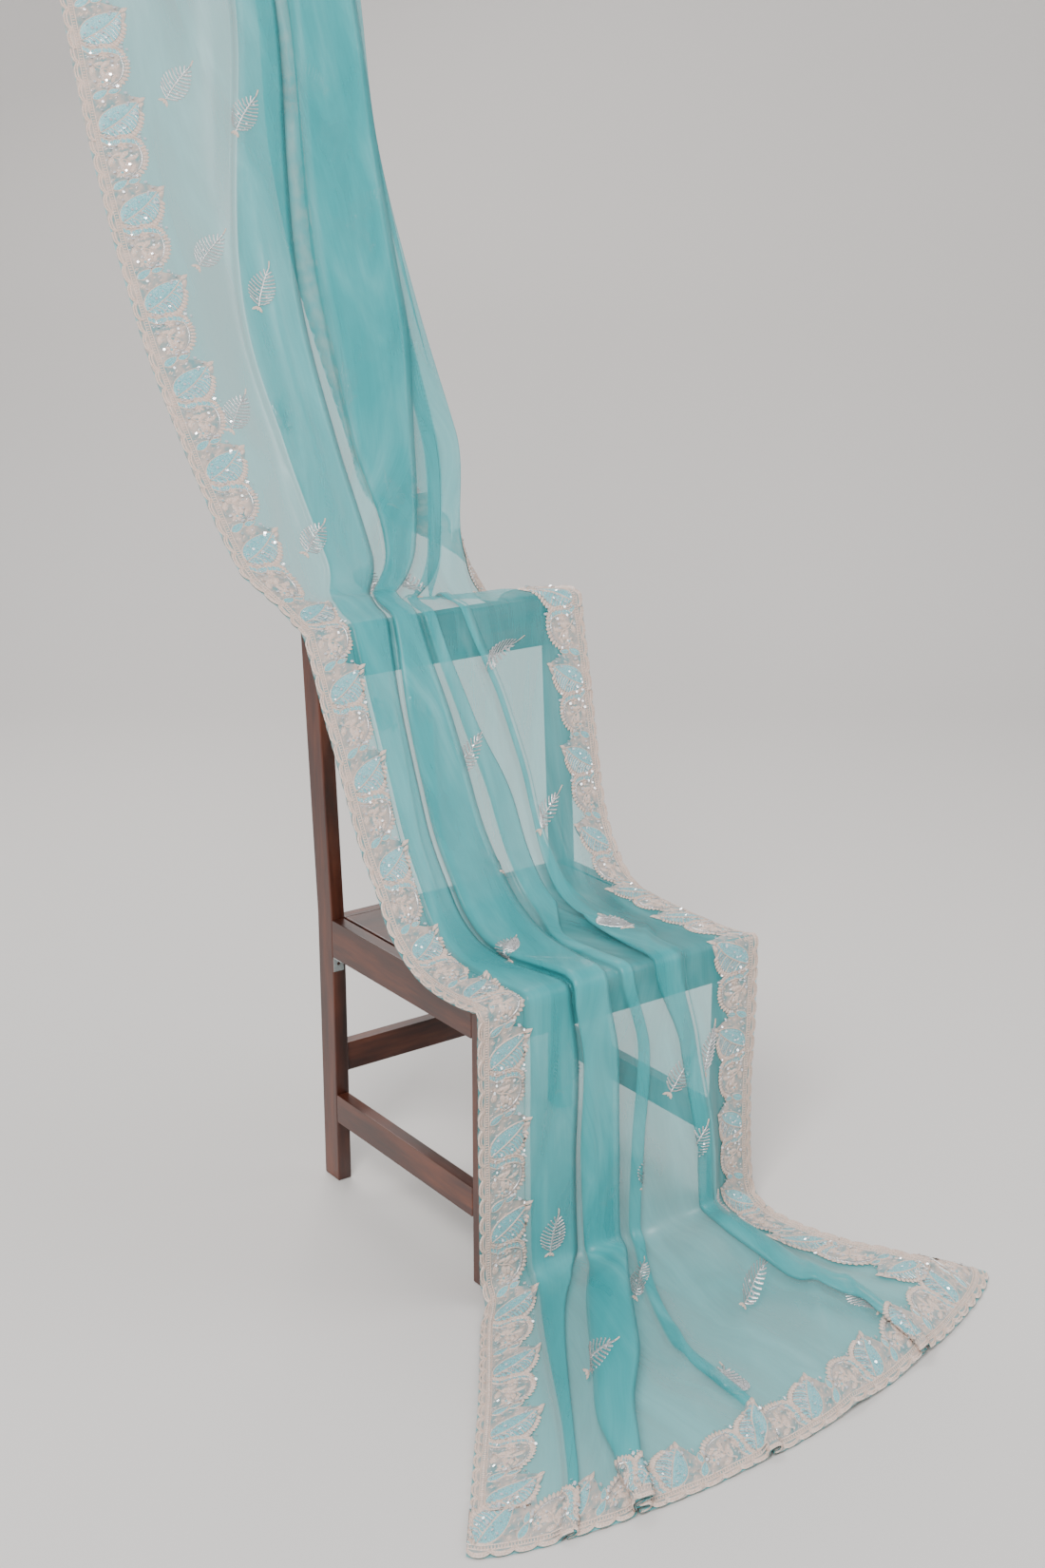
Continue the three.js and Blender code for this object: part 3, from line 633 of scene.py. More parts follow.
# Thread, beads or sequins, in a dark, a middle and a light colour
def embroidery(tree, colours, metallic, roughness, grain):
    pattern = texture(tree, "Noise", own_coordinates(tree), Scale=grain, Detail=3.0)
    return pattern, {
        "Base Color": colour_ramp(tree, pattern, list(zip((0.32, 0.5, 0.68), colours))),
        "Metallic": metallic,
        "Roughness": value_range(tree, pattern, roughness - 0.1, roughness + 0.12, *NOISE_RANGE),
    }


def wood(tree, grain):
    place = own_coordinates(tree, GRAIN_ALONG[grain])
    warp = texture(tree, "Noise", place, Scale=1.2, Detail=4.0, Roughness=0.6)
    fine = texture(tree, "Noise", place, Scale=5.0, Detail=6.0)
    pattern = two_patterns(tree, fine, 0.35, warp, 0.65)
    return pattern, {
        "Base Color": colour_ramp(tree, pattern, [
            (0.15, (0.018, 0.006, 0.004)), (0.5, (0.065, 0.017, 0.009)), (0.85, (0.15, 0.042, 0.02)),
        ]),
        "Roughness": value_range(tree, pattern, 0.28, 0.46),
        "Coat Weight": 0.3,
        "Coat Roughness": 0.2,
    }


def plated_steel(tree):
    spangle = texture(tree, "Voronoi", own_coordinates(tree), output="Distance", Scale=420.0)
    shade = value_range(tree, spangle, 0, 1, 0, 0.8)
    return shade, {
        "Base Color": colour_ramp(tree, shade, [(0.1, (0.42, 0.43, 0.42)), (0.9, (0.6, 0.61, 0.6))]),
        "Metallic": 0.9,
        "Roughness": value_range(tree, shade, 0.35, 0.55),
    }


ORGANZA = material("sheer_organza", organza, (0.3, 0.0012))
GROUND = material("border_ground", border_ground, (0.5, 0.0012))
CREAM = [(0.52, 0.35, 0.27), (0.74, 0.56, 0.46), (0.9, 0.77, 0.69)]
TURQUOISE = [(0.1, 0.37, 0.41), (0.2, 0.52, 0.56), (0.4, 0.7, 0.73)]
SILVER = [(0.3, 0.29, 0.27), (0.58, 0.58, 0.57), (0.95, 0.95, 0.95)]
SEQUIN = [(0.9, 0.92, 0.94), (0.97, 0.98, 1.0), (1.0, 1.0, 1.0)]
# Each thread's material: its name, colours, metallic share, roughness and fineness of grain
THREADS = {
    "cream": ("cream_thread", CREAM, 0.0, 0.4, 900),
    "turquoise": ("turquoise_thread", TURQUOISE, 0.0, 0.38, 700),
    "silver": ("silver_thread", SILVER, 0.65, 0.28, 1200),
    "sequin": ("silver_sequin", SEQUIN, 0.7, 0.14, 300),
}
THREADS = {
    thread: material(name, embroidery, (0.4, 0.0005), *values) for thread, (name, *values) in THREADS.items()
}
# Wood whose grain runs along one axis
GRAIN_ALONG = {"x": (3, 26, 26), "y": (26, 3, 26), "z": (26, 26, 3)}
WOODS = {
    grain: material(f"dark_varnished_wood_{grain}", wood, (0.25, 0.001), grain) for grain in GRAIN_ALONG
}
STEEL = material("plated_steel", plated_steel, (0.2, 0.0004))

# The cloth
cloth = mesh_piece(
    "organza_cloth", surface.reshape(-1, 3), grid_faces(count_rows, count_columns), ORGANZA,
)
cloth_share = arc / arc_total[:, None]
add_flat_map(cloth, cloth_share * FLAT_WIDTH, np.broadcast_to(ROWS[:, None], arc.shape))
STRETCHES = ["floor_spread", "front_drop", "seat_drape", "back_drape", "hanging_fall"]
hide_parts(*STRETCHES)

# Outline of the borders: scallops outside, a comb of petals inside. INNER_EDGE is how far one repeat reaches
# in: (distance along the repeat, reach). The repeat is drawn in a narrower band, and what lies further in
# than FAN_START is then drawn out over the cloth.
SCALLOP_PITCH = 29
SCALLOP_DEPTH = 6.5
SCALLOP_POINT = 1.6
UNIT = 136
INNER_EDGE = [
    (0, 62), (8, 64), (20, 67), (34, 74), (46, 80), (56, 82), (61, 75), (65, 59), (70, 50), (76, 52),
    (84, 61), (94, 68), (106, 72), (118, 72), (128, 68), (136, 62),
]
FAN_START = 20
FAN_STRETCH = 1.22


def scallop(distance):
    return SCALLOP_DEPTH * (1 - np.abs(np.sin(np.pi * distance / SCALLOP_PITCH))) ** SCALLOP_POINT


def drawn_out(reach):
    return reach + np.maximum(0, reach - FAN_START) * (FAN_STRETCH - 1)


def inner_edge(distance):
    along, reach = zip(*INNER_EDGE)
    return drawn_out(np.interp(np.mod(distance, UNIT), along, reach))


# Each strip with where it starts and stops. The end strip is as long as the hem rows are wide.
HEM_ROWS = 4
STRIPS = {
    "left": (on_left, BORDER_WIDTH, left_length[-1]),
    "right": (on_right, BORDER_WIDTH, right_length[-1]),
    "end": (lay, 0, float(arc_total[:HEM_ROWS].mean())),
}
REPEATS = {name: round((stop - start) / UNIT) for name, (_, start, stop) in STRIPS.items()}
REPEAT_LENGTH = {name: (stop - start) / REPEATS[name] for name, (_, start, stop) in STRIPS.items()}
GROUND_LIFT = 0.9
GROUND_STEP = 4.2
GROUND_SHARES = np.array([0, 0.06, 0.14, 0.3, 0.5, 0.7, 0.86, 1])
CORNER_TURN = 30
CORNER_OVERLAP = 2


# The ground of a strip, on both faces of the cloth. In the hem's two corners the end strip's edge follows the
# side strips' scallops, and the strip is as deep as they are wide.
def ground_strip(name, place, start, stop):
    distance = np.linspace(start, stop, int((stop - start) / GROUND_STEP) + 1)
    outer = scallop(distance)
    inner = inner_edge((distance - start) * UNIT / REPEAT_LENGTH[name])
    reach = outer[:, None] + (inner - outer)[:, None] * GROUND_SHARES
    along = np.broadcast_to(distance[:, None], reach.shape).copy()
    if name == "end":
        near_left = np.clip(1 - along / CORNER_TURN, 0, 1)
        near_right = np.clip(1 - (stop - along) / CORNER_TURN, 0, 1)
        along += (near_left - near_right) * scallop(reach)
        corner = (along < BORDER_WIDTH) | (along > stop - BORDER_WIDTH)
        square = outer[:, None] + (BORDER_WIDTH + CORNER_OVERLAP - outer)[:, None] * GROUND_SHARES
        reach = np.where(corner, square, reach)
    front = place(along, reach, np.full(reach.size, GROUND_LIFT))
    reverse = place(along, reach, np.full(reach.size, -GROUND_LIFT))
    faces = grid_faces(*reach.shape)
    both_sides = np.concatenate([faces, faces[:, ::-1] + reach.size])
    made = mesh_piece(
        f"{name}_border_ground", np.concatenate([front, reverse]), both_sides, GROUND,
    )
    add_flat_map(made, np.tile(reach.ravel(), 2), np.tile(along.ravel(), 2))
    return made


grounds = {name: ground_strip(name, *strip) for name, strip in STRIPS.items()}
for side in ("left", "right"):
    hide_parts(*[f"{side}_border_{stretch}" for stretch in STRETCHES])
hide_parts("end_border")


# Flat drawing: a step at an angle, the angle of a step, and a turn of points
def step_at(angle):
    return np.array([math.cos(angle), math.sin(angle)])


def angle_of(step):
    return math.atan2(step[1], step[0])


def turning(angle):
    cos, sin = step_at(angle)
    return np.array([[cos, sin], [-sin, cos]])


# Sizes of the stitches: a cord's width and height, a bead's radius and height, a petal's length, width and
# height, and a patch's lift and crown
CORDS = {
    "scallop": (3.2, 2.8), "inner_scallop": (2.8, 2.2), "ladder": (1.7, 1.6), "lobe": (1.8, 2.2),
    "rib": (2.4, 2.8), "comb": (2.3, 2.4), "wave": (2.6, 2.4), "wave_side": (2.0, 2.4), "stem": (2.0, 2.0),
    "arc": (2.0, 2.4), "drop": (1.5, 1.8), "drop_spine": (1.2, 2.2), "leaf_middle": (2.4, 2.6),
    "leaf_rib": (2.5, 2.4), "leaf_tip": (2.2, 1.8),
}
BEADS = {
    "lobe": (1.15, 2.8), "comb": (1.2, 3.2), "wave": (1.3, 2.6), "flower": (2.4, 3.4),
    "leaf_tip": (1.5, 3.0), "leaf_middle": (1.5, 3.2),
}
PETALS = {"rung": (5.4, 2.3, 1.5), "comb": (10.5, 4.8, 2.8), "tip": (13, 5.6, 3.0), "arc": (9.0, 4.6, 2.6)}
PATCHES = {"lobe": (0.2, 1.2), "comb": (0.2, 0.9), "wave": (0.1, 0.5), "drop": (0.2, 1.0)}

# Stitches, drawn flat as (along, reach, lift) points with faces
PETAL_OUTLINE = [(-0.5, 0), (-0.25, 0.42), (0.18, 0.5), (0.5, 0), (0.18, -0.5), (-0.25, -0.42)]
PETAL_SPINE = [(-0.22, 0), (0.25, 0)]
PETAL_FACES = [[0, 1, 6], [1, 2, 7, 6], [2, 3, 7], [3, 4, 7], [4, 5, 6, 7], [5, 0, 6]]
FLOWER_REACH = 0.5
FLOWER_PETAL_LONG = 0.95
FLOWER_PETAL_WIDE = 0.52
FLOWER_HIGH = 2.2
BEAD_SIDES = 5
BEAD_FOOT = 0.2
DISC_SIDES = 6
PATCH_SHARES = (0, 0.25, 0.5, 0.75, 1)
PATCH_EDGE = 0.15


class Stitches:
    def __init__(self):
        self.points = []
        self.faces = []

    def add(self, points, faces):
        start = len(self.points)
        self.points += points
        self.faces += [[start + i for i in face] for face in faces]

    def cord(self, line, kind):
        width, high = CORDS[kind]
        line = np.array(line, float)
        way = unit(np.gradient(line, axis=0))
        beside = np.stack([-way[:, 1], way[:, 0]], axis=1) * width / 2
        points = []
        for middle, offset in zip(line, beside):
            points += [(*(middle - offset), 0), (*middle, high), (*(middle + offset), 0)]
        faces = []
        for k in range(len(line) - 1):
            a = 3 * k
            faces += [[a, a + 1, a + 4, a + 3], [a + 1, a + 2, a + 5, a + 4]]
        self.add(points, faces)

    def petal(self, centre, turn, length, width, high):
        flat = np.array(PETAL_OUTLINE + PETAL_SPINE) * [length, width] @ turning(turn) + centre
        lifts = [0] * len(PETAL_OUTLINE) + [high] * len(PETAL_SPINE)
        self.add([(*spot, lift) for spot, lift in zip(flat, lifts)], PETAL_FACES)

    def bead(self, centre, radius, high):
        angles = np.arange(BEAD_SIDES) * 2 * math.pi / BEAD_SIDES
        ring = [(*(centre + radius * step_at(a)), BEAD_FOOT) for a in angles]
        faces = [[k, (k + 1) % BEAD_SIDES, BEAD_SIDES] for k in range(BEAD_SIDES)]
        self.add(ring + [(*centre, high)], faces)

    def disc(self, centre, radius, tilt, turn, lift):
        angles = np.arange(DISC_SIDES) * 2 * math.pi / DISC_SIDES
        ring = [(*(centre + radius * step_at(a)), lift + tilt * radius * math.cos(a - turn)) for a in angles]
        self.add(ring, [list(range(DISC_SIDES))])

    def patch(self, first, second, lift, high):
        points = []
        for a, b in zip(first, second):
            for share in PATCH_SHARES:
                rise = high * math.sin(math.pi * (PATCH_EDGE + (1 - 2 * PATCH_EDGE) * share))
                points.append((*(a * (1 - share) + b * share), lift + rise))
        self.add(points, grid_faces(len(first), len(PATCH_SHARES)).tolist())

    def flower(self, centre, size, petals, turn):
        for k in range(petals):
            way = turn + 2 * math.pi * k / petals
            spot = centre + size * FLOWER_REACH * step_at(way)
            self.petal(spot, way, size * FLOWER_PETAL_LONG, size * FLOWER_PETAL_WIDE, FLOWER_HIGH)

    def shape(self):
        return np.array(self.points, float), self.faces


# A leaf's middle line and its two edges
LEAF_FULLNESS = 0.8


def leaf_line(base, turn, length, width, bend, count):
    shares = np.linspace(0, 1, count)
    side = width / 2 * np.sin(np.pi * shares**LEAF_FULLNESS) ** LEAF_FULLNESS
    middle = np.stack([length * shares, bend * np.sin(np.pi * shares)], axis=1)
    half = np.stack([0 * side, side], axis=1)
    return [line @ turning(turn) + base for line in (middle, middle + half, middle - half)]


def curve_through(points, count):
    points = np.array(points, float)
    knots = np.linspace(0, 1, len(points))
    at = np.linspace(0, 1, count)
    return np.stack([path_curve(knots, points[:, k], at) for k in (0, 1)], axis=1)


chance = np.random.default_rng(11)

# Double cord that follows the scallops, (share of their depth, reach, cord), and the ladder band inside it
SCALLOP_CORDS = [(1, 1.4, "scallop"), (0.8, 5.4, "inner_scallop")]
SCALLOP_STEPS = 57
LADDER_REACHES = (11.4, 18.4)
LADDER_STEPS = 9
LADDER_MIDDLE = 14.9
RUNGS = 34


def scallop_band(cream):
    steps = np.linspace(0, UNIT, SCALLOP_STEPS)
    for share, reach, kind in SCALLOP_CORDS:
        cream.cord(np.stack([steps, scallop(steps) * share + reach], axis=1), kind)
    straight = np.linspace(0, UNIT, LADDER_STEPS)
    for reach in LADDER_REACHES:
        cream.cord(np.stack([straight, np.full(LADDER_STEPS, reach)], axis=1), "ladder")
    for k in range(RUNGS):
        cream.petal(((k + 0.5) * UNIT / RUNGS, LADDER_MIDDLE), math.pi / 2, *PETALS["rung"])


# The fan: a turquoise lobe beaded in silver on the outer side of its rib, a ribbed comb on the other
# whose turquoise shows between the ribs, and a row of petals round the comb
FAN_FOOT = (12.0, 21.0)
FAN_TURN = math.radians(52)
FAN_LONG = 67
FAN_WIDE = 42
FAN_BEND = 4
FAN_STEPS = 15
LOBE_BEAD_SHARES = (0.3, 0.55, 0.8)
COMB_BOW = 1.4
COMB_PETAL_OUT = 4.4
TIP_PETAL_OUT = (3.5, 4.5)
TIP_PETAL_TURN = math.radians(58)


def fan(cream, turquoise, silver):
    middle, comb, lobe = leaf_line(FAN_FOOT, FAN_TURN, FAN_LONG, FAN_WIDE, FAN_BEND, FAN_STEPS)
    tip = FAN_STEPS - 1
    turquoise.patch(middle, lobe, *PATCHES["lobe"])
    turquoise.patch(middle, comb, *PATCHES["comb"])
    cream.cord(lobe, "lobe")
    cream.cord(middle, "rib")
    for k in range(1, tip):
        for share in LOBE_BEAD_SHARES:
            silver.bead(middle[k] * (1 - share) + lobe[k] * share, *BEADS["lobe"])
        elbow = (middle[k] + comb[k]) / 2 + COMB_BOW
        (silver if k % 3 else cream).cord([middle[k], elbow, comb[k]], "comb")
        silver.bead(elbow, *BEADS["comb"])
    for k in range(1, FAN_STEPS):
        way = angle_of(comb[k] - middle[k] if k < tip - 1 else middle[tip] - middle[tip - 3])
        cream.petal(comb[k] + COMB_PETAL_OUT * step_at(way), way, *PETALS["comb"])
    cream.petal(middle[tip] + TIP_PETAL_OUT, TIP_PETAL_TURN, *PETALS["tip"])


# The wave below the fan, with a beaded band along it. Offsets run along the border.
WAVE_LINE = [(10, 19), (3, 30), (6, 44), (3, 58), (-5, 68)]
WAVE_STEPS = 21
WAVE_CORDS = [(0, "wave"), (-3.6, "wave_side"), (-12.5, "wave_side")]
WAVE_BEAD_OFFSETS = (-6.2, -9.4)
WAVE_PATCH_OFFSETS = (-12.0, -4.6)


def wave_band(cream, turquoise, silver):
    wave = curve_through(WAVE_LINE, WAVE_STEPS)
    for offset, kind in WAVE_CORDS:
        cream.cord(wave + [offset, 0], kind)
    for spot in wave[::2]:
        for offset in WAVE_BEAD_OFFSETS:
            silver.bead(spot + [offset, 0], *BEADS["wave"])
    turquoise.patch(*[wave[::2] + [offset, 0] for offset in WAVE_PATCH_OFFSETS], *PATCHES["wave"])


# The spray: satin petals round a stem, (place on the stem, side, length), two small flowers and an arc of
# petals at the inner edge
STEM_LINE = [(118, 24), (108, 33), (104, 45), (92, 54)]
STEM_STEPS = 13
SPRAY_PETALS = [(2, 1, 17), (2, -1, 15), (5, 1, 18), (5, -1, 17), (8, 1, 15), (8, -1, 16), (11, 1, 11)]
SPRAY_SPREAD = math.radians(56)
SPRAY_PETAL_WIDE = 0.42
SPRAY_HIGH = 2.8
BEADED_FLOWER = (86, 36)
SMALL_FLOWER = (126, 44)
ARC_LINE = [(130, 60), (118, 64), (104, 64), (90, 58), (80, 46)]
ARC_STEPS = 25
ARC_PETAL_OUT = 5.2


def spray(cream, turquoise, silver):
    stem = curve_through(STEM_LINE, STEM_STEPS)
    cream.cord(stem, "stem")
    for k, side, length in SPRAY_PETALS:
        way = angle_of(stem[k + 1] - stem[k - 1]) + side * SPRAY_SPREAD
        spot = stem[k] + (length / 2 + 1) * step_at(way)
        cream.petal(spot, way, length, length * SPRAY_PETAL_WIDE, SPRAY_HIGH)
    cream.flower(BEADED_FLOWER, 8.5, 5, 0.4)
    turquoise.bead(BEADED_FLOWER, *BEADS["flower"])
    cream.flower(SMALL_FLOWER, 7.5, 5, 0.9)
    petal_arc = curve_through(ARC_LINE, ARC_STEPS)
    silver.cord(petal_arc, "arc")
    for k in range(1, ARC_STEPS - 1, 2):
        way = angle_of(petal_arc[k + 1] - petal_arc[k - 1]) - math.pi / 2
        cream.petal(petal_arc[k] + ARC_PETAL_OUT * step_at(way), way, *PETALS["arc"])


# Fillings: turquoise drops with cream outlines, (middle, turn, length, width), then short satin stitches,
# beads and sequins strewn over the repeat
DROPS = [((68, 30), 1.0, 24, 11), ((72, 48), 1.3, 17, 8), ((104, 26), 0.2, 14, 6)]
DROP_STEPS = 9
STREWN = {"satin": (90, (20, 62)), "beads": (50, (20, 70)), "sequins": (38, (22, 74))}
SILVER_SATIN_SHARE = 0.35
SATIN_TURNS = (0.6, 1.5)
SATIN_LENGTHS = (4.5, 8)
SATIN_WIDE = 2.0
SATIN_HIGH = 1.0
LOOSE_BEAD_RADII = (0.8, 1.3)
LOOSE_BEAD_HIGH = 2.2
SEQUIN_RADII = (1.5, 2.4)
SEQUIN_TILTS = (0.1, 0.8)
SEQUIN_LIFT = 3.4


def strewn(kind):
    count, reaches = STREWN[kind]
    for _ in range(count):
        yield chance.uniform(0, UNIT), chance.uniform(*reaches)


def fillings(cream, turquoise, silver, sequin):
    for centre, turn, length, width in DROPS:
        base = centre - length / 2 * step_at(turn)
        spine, first, second = leaf_line(base, turn, length, width, 0, DROP_STEPS)
        turquoise.patch(first, second, *PATCHES["drop"])
        cream.cord(first, "drop")
        cream.cord(second, "drop")
        silver.cord(spine[1:-1], "drop_spine")
    for spot in strewn("satin"):
        thread = silver if chance.random() < SILVER_SATIN_SHARE else cream
        turn = chance.uniform(*SATIN_TURNS)
        thread.petal(spot, turn, chance.uniform(*SATIN_LENGTHS), SATIN_WIDE, SATIN_HIGH)
    for spot in strewn("beads"):
        silver.bead(spot, chance.uniform(*LOOSE_BEAD_RADII), LOOSE_BEAD_HIGH)
    for spot in strewn("sequins"):
        radius = chance.uniform(*SEQUIN_RADII)
        tilt = chance.uniform(*SEQUIN_TILTS)
        sequin.disc(spot, radius, tilt, chance.uniform(0, 2 * math.pi), SEQUIN_LIFT)


# One repeat of the border, the same for all three strips
repeat = {thread: Stitches() for thread in THREADS}
scallop_band(repeat["cream"])
fan(repeat["cream"], repeat["turquoise"], repeat["silver"])
wave_band(repeat["cream"], repeat["turquoise"], repeat["silver"])
spray(repeat["cream"], repeat["turquoise"], repeat["silver"])
fillings(**repeat)


# The copies of a drawing, laid down one after another, as one piece
def sew(name, thread, placed, faces, copies):
    points_each = len(placed) // copies
    all_faces = [[i + k * points_each for i in face] for k in range(copies) for face in faces]
    rounded = thread != "sequin"
    mesh_piece(name, placed, all_faces, THREADS[thread], rounded)


for name, (place, start, stop) in STRIPS.items():
    for thread, stitches in repeat.items():
        points, faces = stitches.shape()
        shift = np.arange(REPEATS[name])[:, None] * UNIT
        along = start + ((points[:, 0] + shift) * REPEAT_LENGTH[name] / UNIT).ravel()
        reach = np.tile(drawn_out(points[:, 1]), REPEATS[name])
        lift = np.tile(points[:, 2], REPEATS[name]) + GROUND_LIFT
        placed = place(np.clip(along, start, stop), reach, lift)
        sew(f"{name}_border_{thread}", thread, placed, faces, REPEATS[name])

# The scattered leaves: distances of the leaf's middle from the left edge and the hem, and its turn
LEAVES = [
    [150, 2543, 44], [249, 2489, 50], [142, 2295, 40], [211, 2225, 60], [106, 2043, 51], [148, 1823, 40],
    [638, 1744, 95], [775, 1524, 28], [706, 1383, 58], [1013, 1263, 52], [280, 1012, 34], [949, 998, 55],
    [963, 711, 75], [926, 576, 56], [972, 420, 60], [643, 336, 60], [133, 480, 76], [247, 225, 6],
    [890, 242, 35], [985, 122, 60], [700, 142, 37], [201, 740, 104], [453, 730, 105],
    # Those on layers that lie underneath or behind
    [537, 535, 60], [737, 535, 58], [827, 690, 60], [400, 940, 50], [620, 930, 52], [470, 1075, 45],
    [400, 1210, 50], [190, 1480, 48], [410, 1480, 50], [370, 1745, 50], [660, 1885, 50], [850, 1900, 46],
    [350, 2030, 50], [730, 2060, 48], [930, 2180, 50], [700, 2290, 46], [850, 2330, 50], [990, 2425, 48],
    [700, 2540, 50], [900, 2570, 46],
]
LEAF_BASE = np.array([-30.0, 0.0])
LEAF_LONG = 64
LEAF_WIDE = 40
LEAF_BEND = 2
LEAF_STEPS = 25
LEAF_LIFT = 0.3
LEAF_TIP = [(-3, 0), (4, 0.5), (10, 2.0)]
STALK_PETALS = [(2.3, 12), (3.14, 7), (3.9, 11)]
STALK_REACH = 0.52
STALK_PETAL_WIDE = 4.4
STALK_PETAL_HIGH = 2.4
LEAF_RIB_AHEAD = 3
LEAF_RIB_BOW = 0.2
LEAF_SEQUINS = [(-20, 5), (-12, -8), (-6, 9), (3, -7), (12, 6), (20, -3)]
LEAF_SEQUIN_RADIUS = 1.7
LEAF_SEQUIN_TILT = 0.5
LEAF_SEQUIN_LIFT = 3.2


# One leaf: a middle cord, ribs with a bead at each tip, beads along the middle, and a stalk of petals
def leaf_motif():
    made = {thread: Stitches() for thread in ("silver", "cream", "sequin")}
    silver, cream, sequin = made.values()
    middle, left, right = leaf_line(LEAF_BASE, 0, LEAF_LONG, LEAF_WIDE, LEAF_BEND, LEAF_STEPS)
    silver.cord(middle, "leaf_middle")
    for k in range(1, LEAF_STEPS - LEAF_RIB_AHEAD, 2):
        for side in (left, right):
            tip = side[k + LEAF_RIB_AHEAD]
            elbow = (middle[k] + tip) / 2 + (middle[k] - middle[k + 2]) * LEAF_RIB_BOW
            silver.cord([middle[k], elbow, tip], "leaf_rib")
            silver.bead(tip, *BEADS["leaf_tip"])
    for k in range(2, LEAF_STEPS - 1, 3):
        silver.bead(middle[k], *BEADS["leaf_middle"])
    cream.cord(middle[-1] + LEAF_TIP, "leaf_tip")
    for turn, length in STALK_PETALS:
        spot = LEAF_BASE + STALK_REACH * length * step_at(turn)
        cream.petal(spot, turn, length, STALK_PETAL_WIDE, STALK_PETAL_HIGH)
    for spot in LEAF_SEQUINS:
        sequin.disc(spot, LEAF_SEQUIN_RADIUS, LEAF_SEQUIN_TILT, spot[0], LEAF_SEQUIN_LIFT)
    return made


for thread, stitches in leaf_motif().items():
    points, faces = stitches.shape()
    placed = []
    for from_left, from_hem, turn in LEAVES:
        x, y = (points[:, :2] @ turning(math.radians(turn))).T
        placed.append(lay(from_left + x, from_hem + y, points[:, 2] + LEAF_LIFT))
    sew(f"leaves_{thread}", thread, np.concatenate(placed), faces, len(LEAVES))

# The chair: rounded edges on its own solids, and wood whose grain runs along each member. Sizes in metres.
WELD_DISTANCE = 0.00005
EDGE_ROUNDING = 0.0022
for name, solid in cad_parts.items():
    if solid.hide_render:
        continue
    low_corner, high_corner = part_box(name)
    sides = np.array(high_corner) - np.array(low_corner)
    solid.data.materials.clear()
    solid.data.materials.append(WOODS["xyz"[int(sides.argmax())]])
    weld = solid.modifiers.new("weld", "WELD")
    weld.merge_threshold = WELD_DISTANCE
    rounding = solid.modifiers.new("rounding", "BEVEL")
    rounding.width = EDGE_ROUNDING
    rounding.segments = 3
    rounding.limit_method = "ANGLE"


# Small angle brackets under the side seat rails: one flange on the back post, one under the rail
FLANGE_WIDE = 18
FLANGE_LONG = 25
FLANGE_THICK = 2
HOLE_RADIUS = 3.2
HOLE_SIDES = 16
POST_OVERLAP = 1


def flange(across_side, long_side):
    corner = math.atan2(FLANGE_LONG, FLANGE_WIDE)
    corners = [corner, math.pi - corner, math.pi + corner, 2 * math.pi - corner]
    angles = sorted([k * 2 * math.pi / HOLE_SIDES for k in range(HOLE_SIDES)] + corners)
    rim = []
    hole = []
    for angle in angles:
        cos, sin = step_at(angle)
        reach = min(FLANGE_WIDE / 2 / max(abs(cos), TINY), FLANGE_LONG / 2 / max(abs(sin), TINY))
        rim.append(across_side * cos * reach + long_side * sin * reach)
        hole.append(across_side * cos * HOLE_RADIUS + long_side * sin * HOLE_RADIUS)
    away = np.cross(across_side, long_side) * FLANGE_THICK / 2
    count = len(angles)
    points = [p + away for p in rim + hole] + [p - away for p in rim + hole]
    faces = []
    for k in range(count):
        n = (k + 1) % count
        faces += [
            [k, n, count + n, count + k], [2 * count + k, 3 * count + k, 3 * count + n, 2 * count + n],
            [k, 2 * count + k, 2 * count + n, n], [count + k, count + n, 3 * count + n, 3 * count + k],
        ]
    return np.array(points), faces


for side in ("left", "right"):
    rail_low, rail_high = (np.array(corner) * 1000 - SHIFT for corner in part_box(f"side_seat_rail_{side}"))
    x_way, y_way, z_way = np.eye(3)
    upright, upright_faces = flange(x_way, z_way)
    level, level_faces = flange(x_way, y_way)
    middle_x = (rail_low[0] + rail_high[0]) / 2
    inside_corner = np.array([middle_x, rail_high[1] + POST_OVERLAP, rail_low[2]])
    upright += inside_corner + [0, -FLANGE_THICK / 2, -FLANGE_LONG / 2]
    level += inside_corner + [0, -FLANGE_LONG / 2, -FLANGE_THICK / 2]
    level_faces = [[i + len(upright) for i in face] for face in level_faces]
    both = np.concatenate([upright, level])
    mesh_piece(f"bracket_{side}", both, upright_faces + level_faces, STEEL, False)

# The camera as the photo's, in degrees and in millimetres
CAMERA_DOWN = 17.4
CAMERA_TURN = 35.8
CAMERA_PLACE = [-1814.6, -2466.4, 1650]
LENS = 48.9

# The floor, which bends up behind the object, in metres from the row frame's origin
FLOOR_COLOUR = (0.7, 0.665, 0.63)
FLOOR_NEAR = -14.0
FLOOR_FAR = 4.0
FLOOR_TALL = 6.0
FLOOR_BEND = 1.0
FLOOR_HALF_WIDTH = 14.0
FLOOR_DROP = 0.0004
BEND_STEPS = 8


def plain(tree, colour, roughness):
    noise = node(tree, "ShaderNodeTexNoise", Scale=3.0, Detail=3.0).outputs["Fac"]
    tones = [(at, tuple(c * tone for c in colour)) for at, tone in ((0.3, 0.97), (0.7, 1.03))]
    return noise, {"Base Color": colour_ramp(tree, noise, tones), "Roughness": roughness}


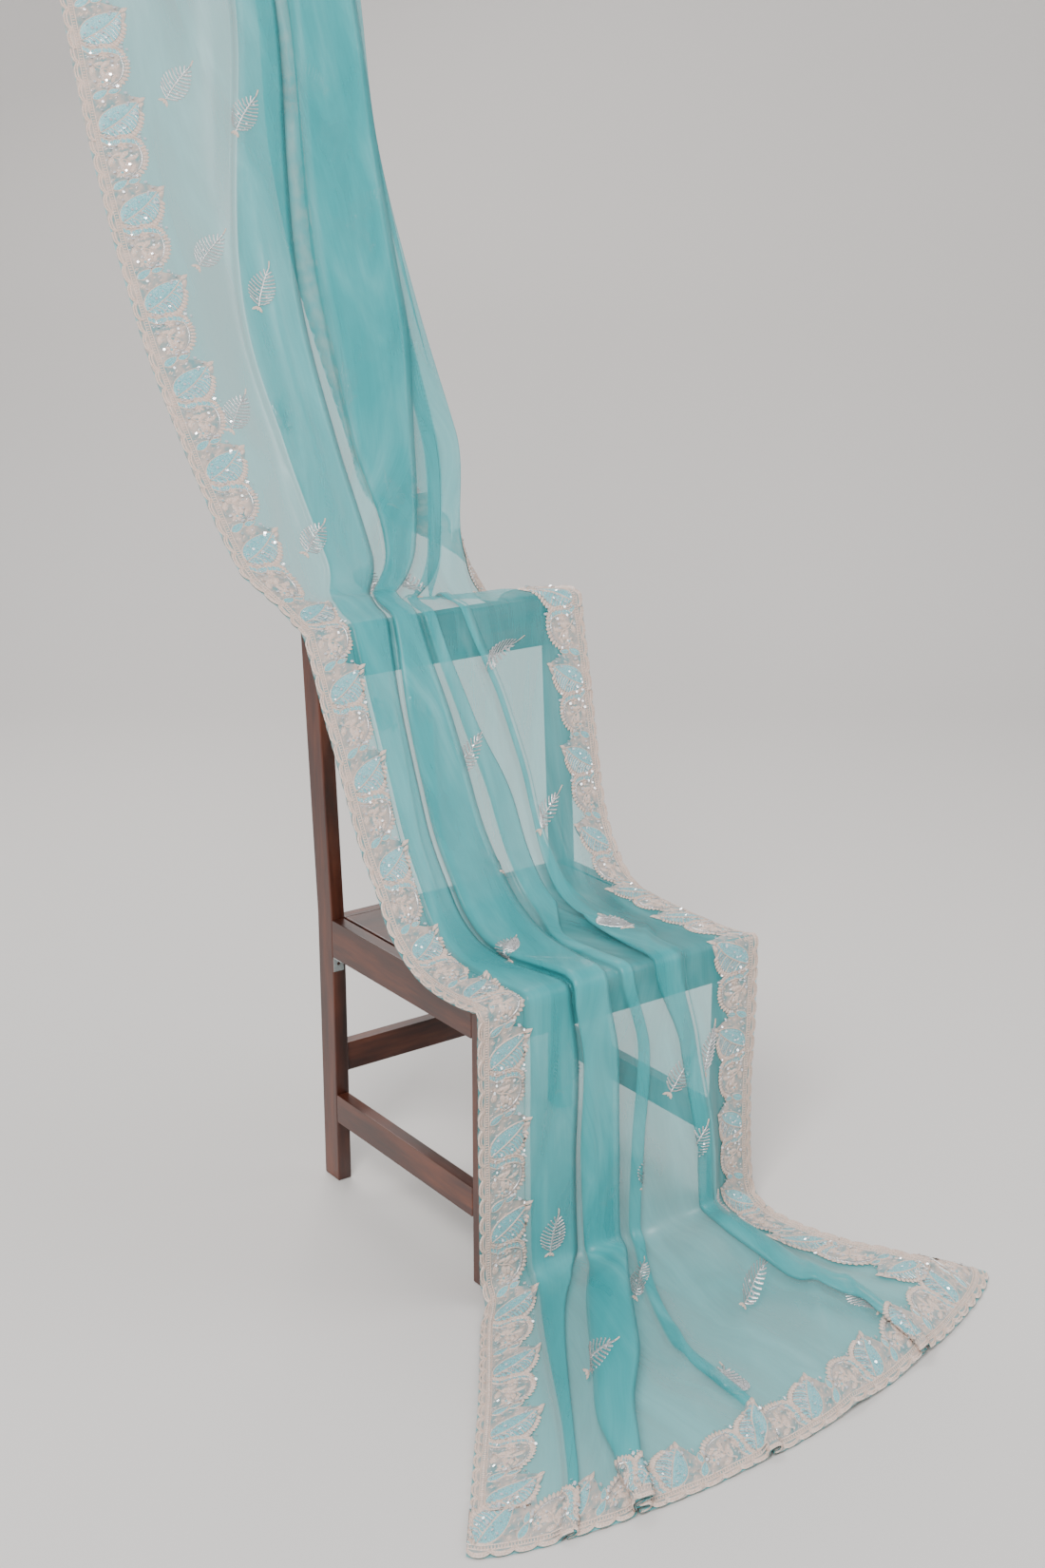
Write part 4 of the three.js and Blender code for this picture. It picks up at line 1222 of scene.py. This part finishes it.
def stage_floor():
    outline = [(FLOOR_NEAR, 0.0), (FLOOR_FAR - FLOOR_BEND, 0.0)]
    for k in range(1, BEND_STEPS + 1):
        cos, sin = step_at(k / BEND_STEPS * math.pi / 2)
        outline.append((FLOOR_FAR - FLOOR_BEND + FLOOR_BEND * sin, FLOOR_BEND - FLOOR_BEND * cos))
    outline.append((FLOOR_FAR, FLOOR_TALL))
    points = [(x, y, z - FLOOR_DROP) for y, z in outline for x in (-FLOOR_HALF_WIDTH, FLOOR_HALF_WIDTH)]
    faces = [(2 * k, 2 * k + 1, 2 * k + 3, 2 * k + 2) for k in range(len(outline) - 1)]
    data = bpy.data.meshes.new("stage_floor")
    data.from_pydata(points, [], faces)
    data.shade_smooth()
    data.materials.append(material("pale_floor", plain, None, FLOOR_COLOUR, 0.8))
    floor = add_object("stage_floor", data)
    floor.rotation_euler.z = math.radians(-CAMERA_TURN)


stage_floor()

# The lights: place, what each one faces, power and size
LIGHTS = {
    "key": ((-2.6, -2.4, 3.4), (0, 0, 0.8), 195, 1.7),
    "fill": ((3.0, -2.0, 2.2), (0, 0, 0.7), 60, 2.6),
    "back": ((0.8, 2.6, 3.4), (0, 0, 0.9), 90, 2.0),
}
WORLD_COLOUR = (0.9, 0.93, 1.0, 1)
WORLD_STRENGTH = 0.62
for name, (place, target, power, size) in LIGHTS.items():
    data = bpy.data.lights.new(name, "AREA")
    data.energy = power
    data.size = size
    light = add_object(name, data)
    light.location = place
    from_light = np.array(target) - np.array(place)
    light.rotation_euler = Vector(from_light).to_track_quat("-Z", "Y").to_euler()
world = bpy.data.worlds.new("soft_world")
world.use_nodes = True
background = world.node_tree.nodes["Background"]
background.inputs["Color"].default_value = WORLD_COLOUR
background.inputs["Strength"].default_value = WORLD_STRENGTH
bpy.context.scene.world = world

lens = bpy.data.cameras.new("photo_camera")
lens.lens = LENS
camera = add_object("photo_camera", lens)
camera.location = tuple(to_row(CAMERA_PLACE))
camera.rotation_euler = (math.radians(90 - CAMERA_DOWN), 0, math.radians(-CAMERA_TURN))
bpy.context.scene.camera = camera
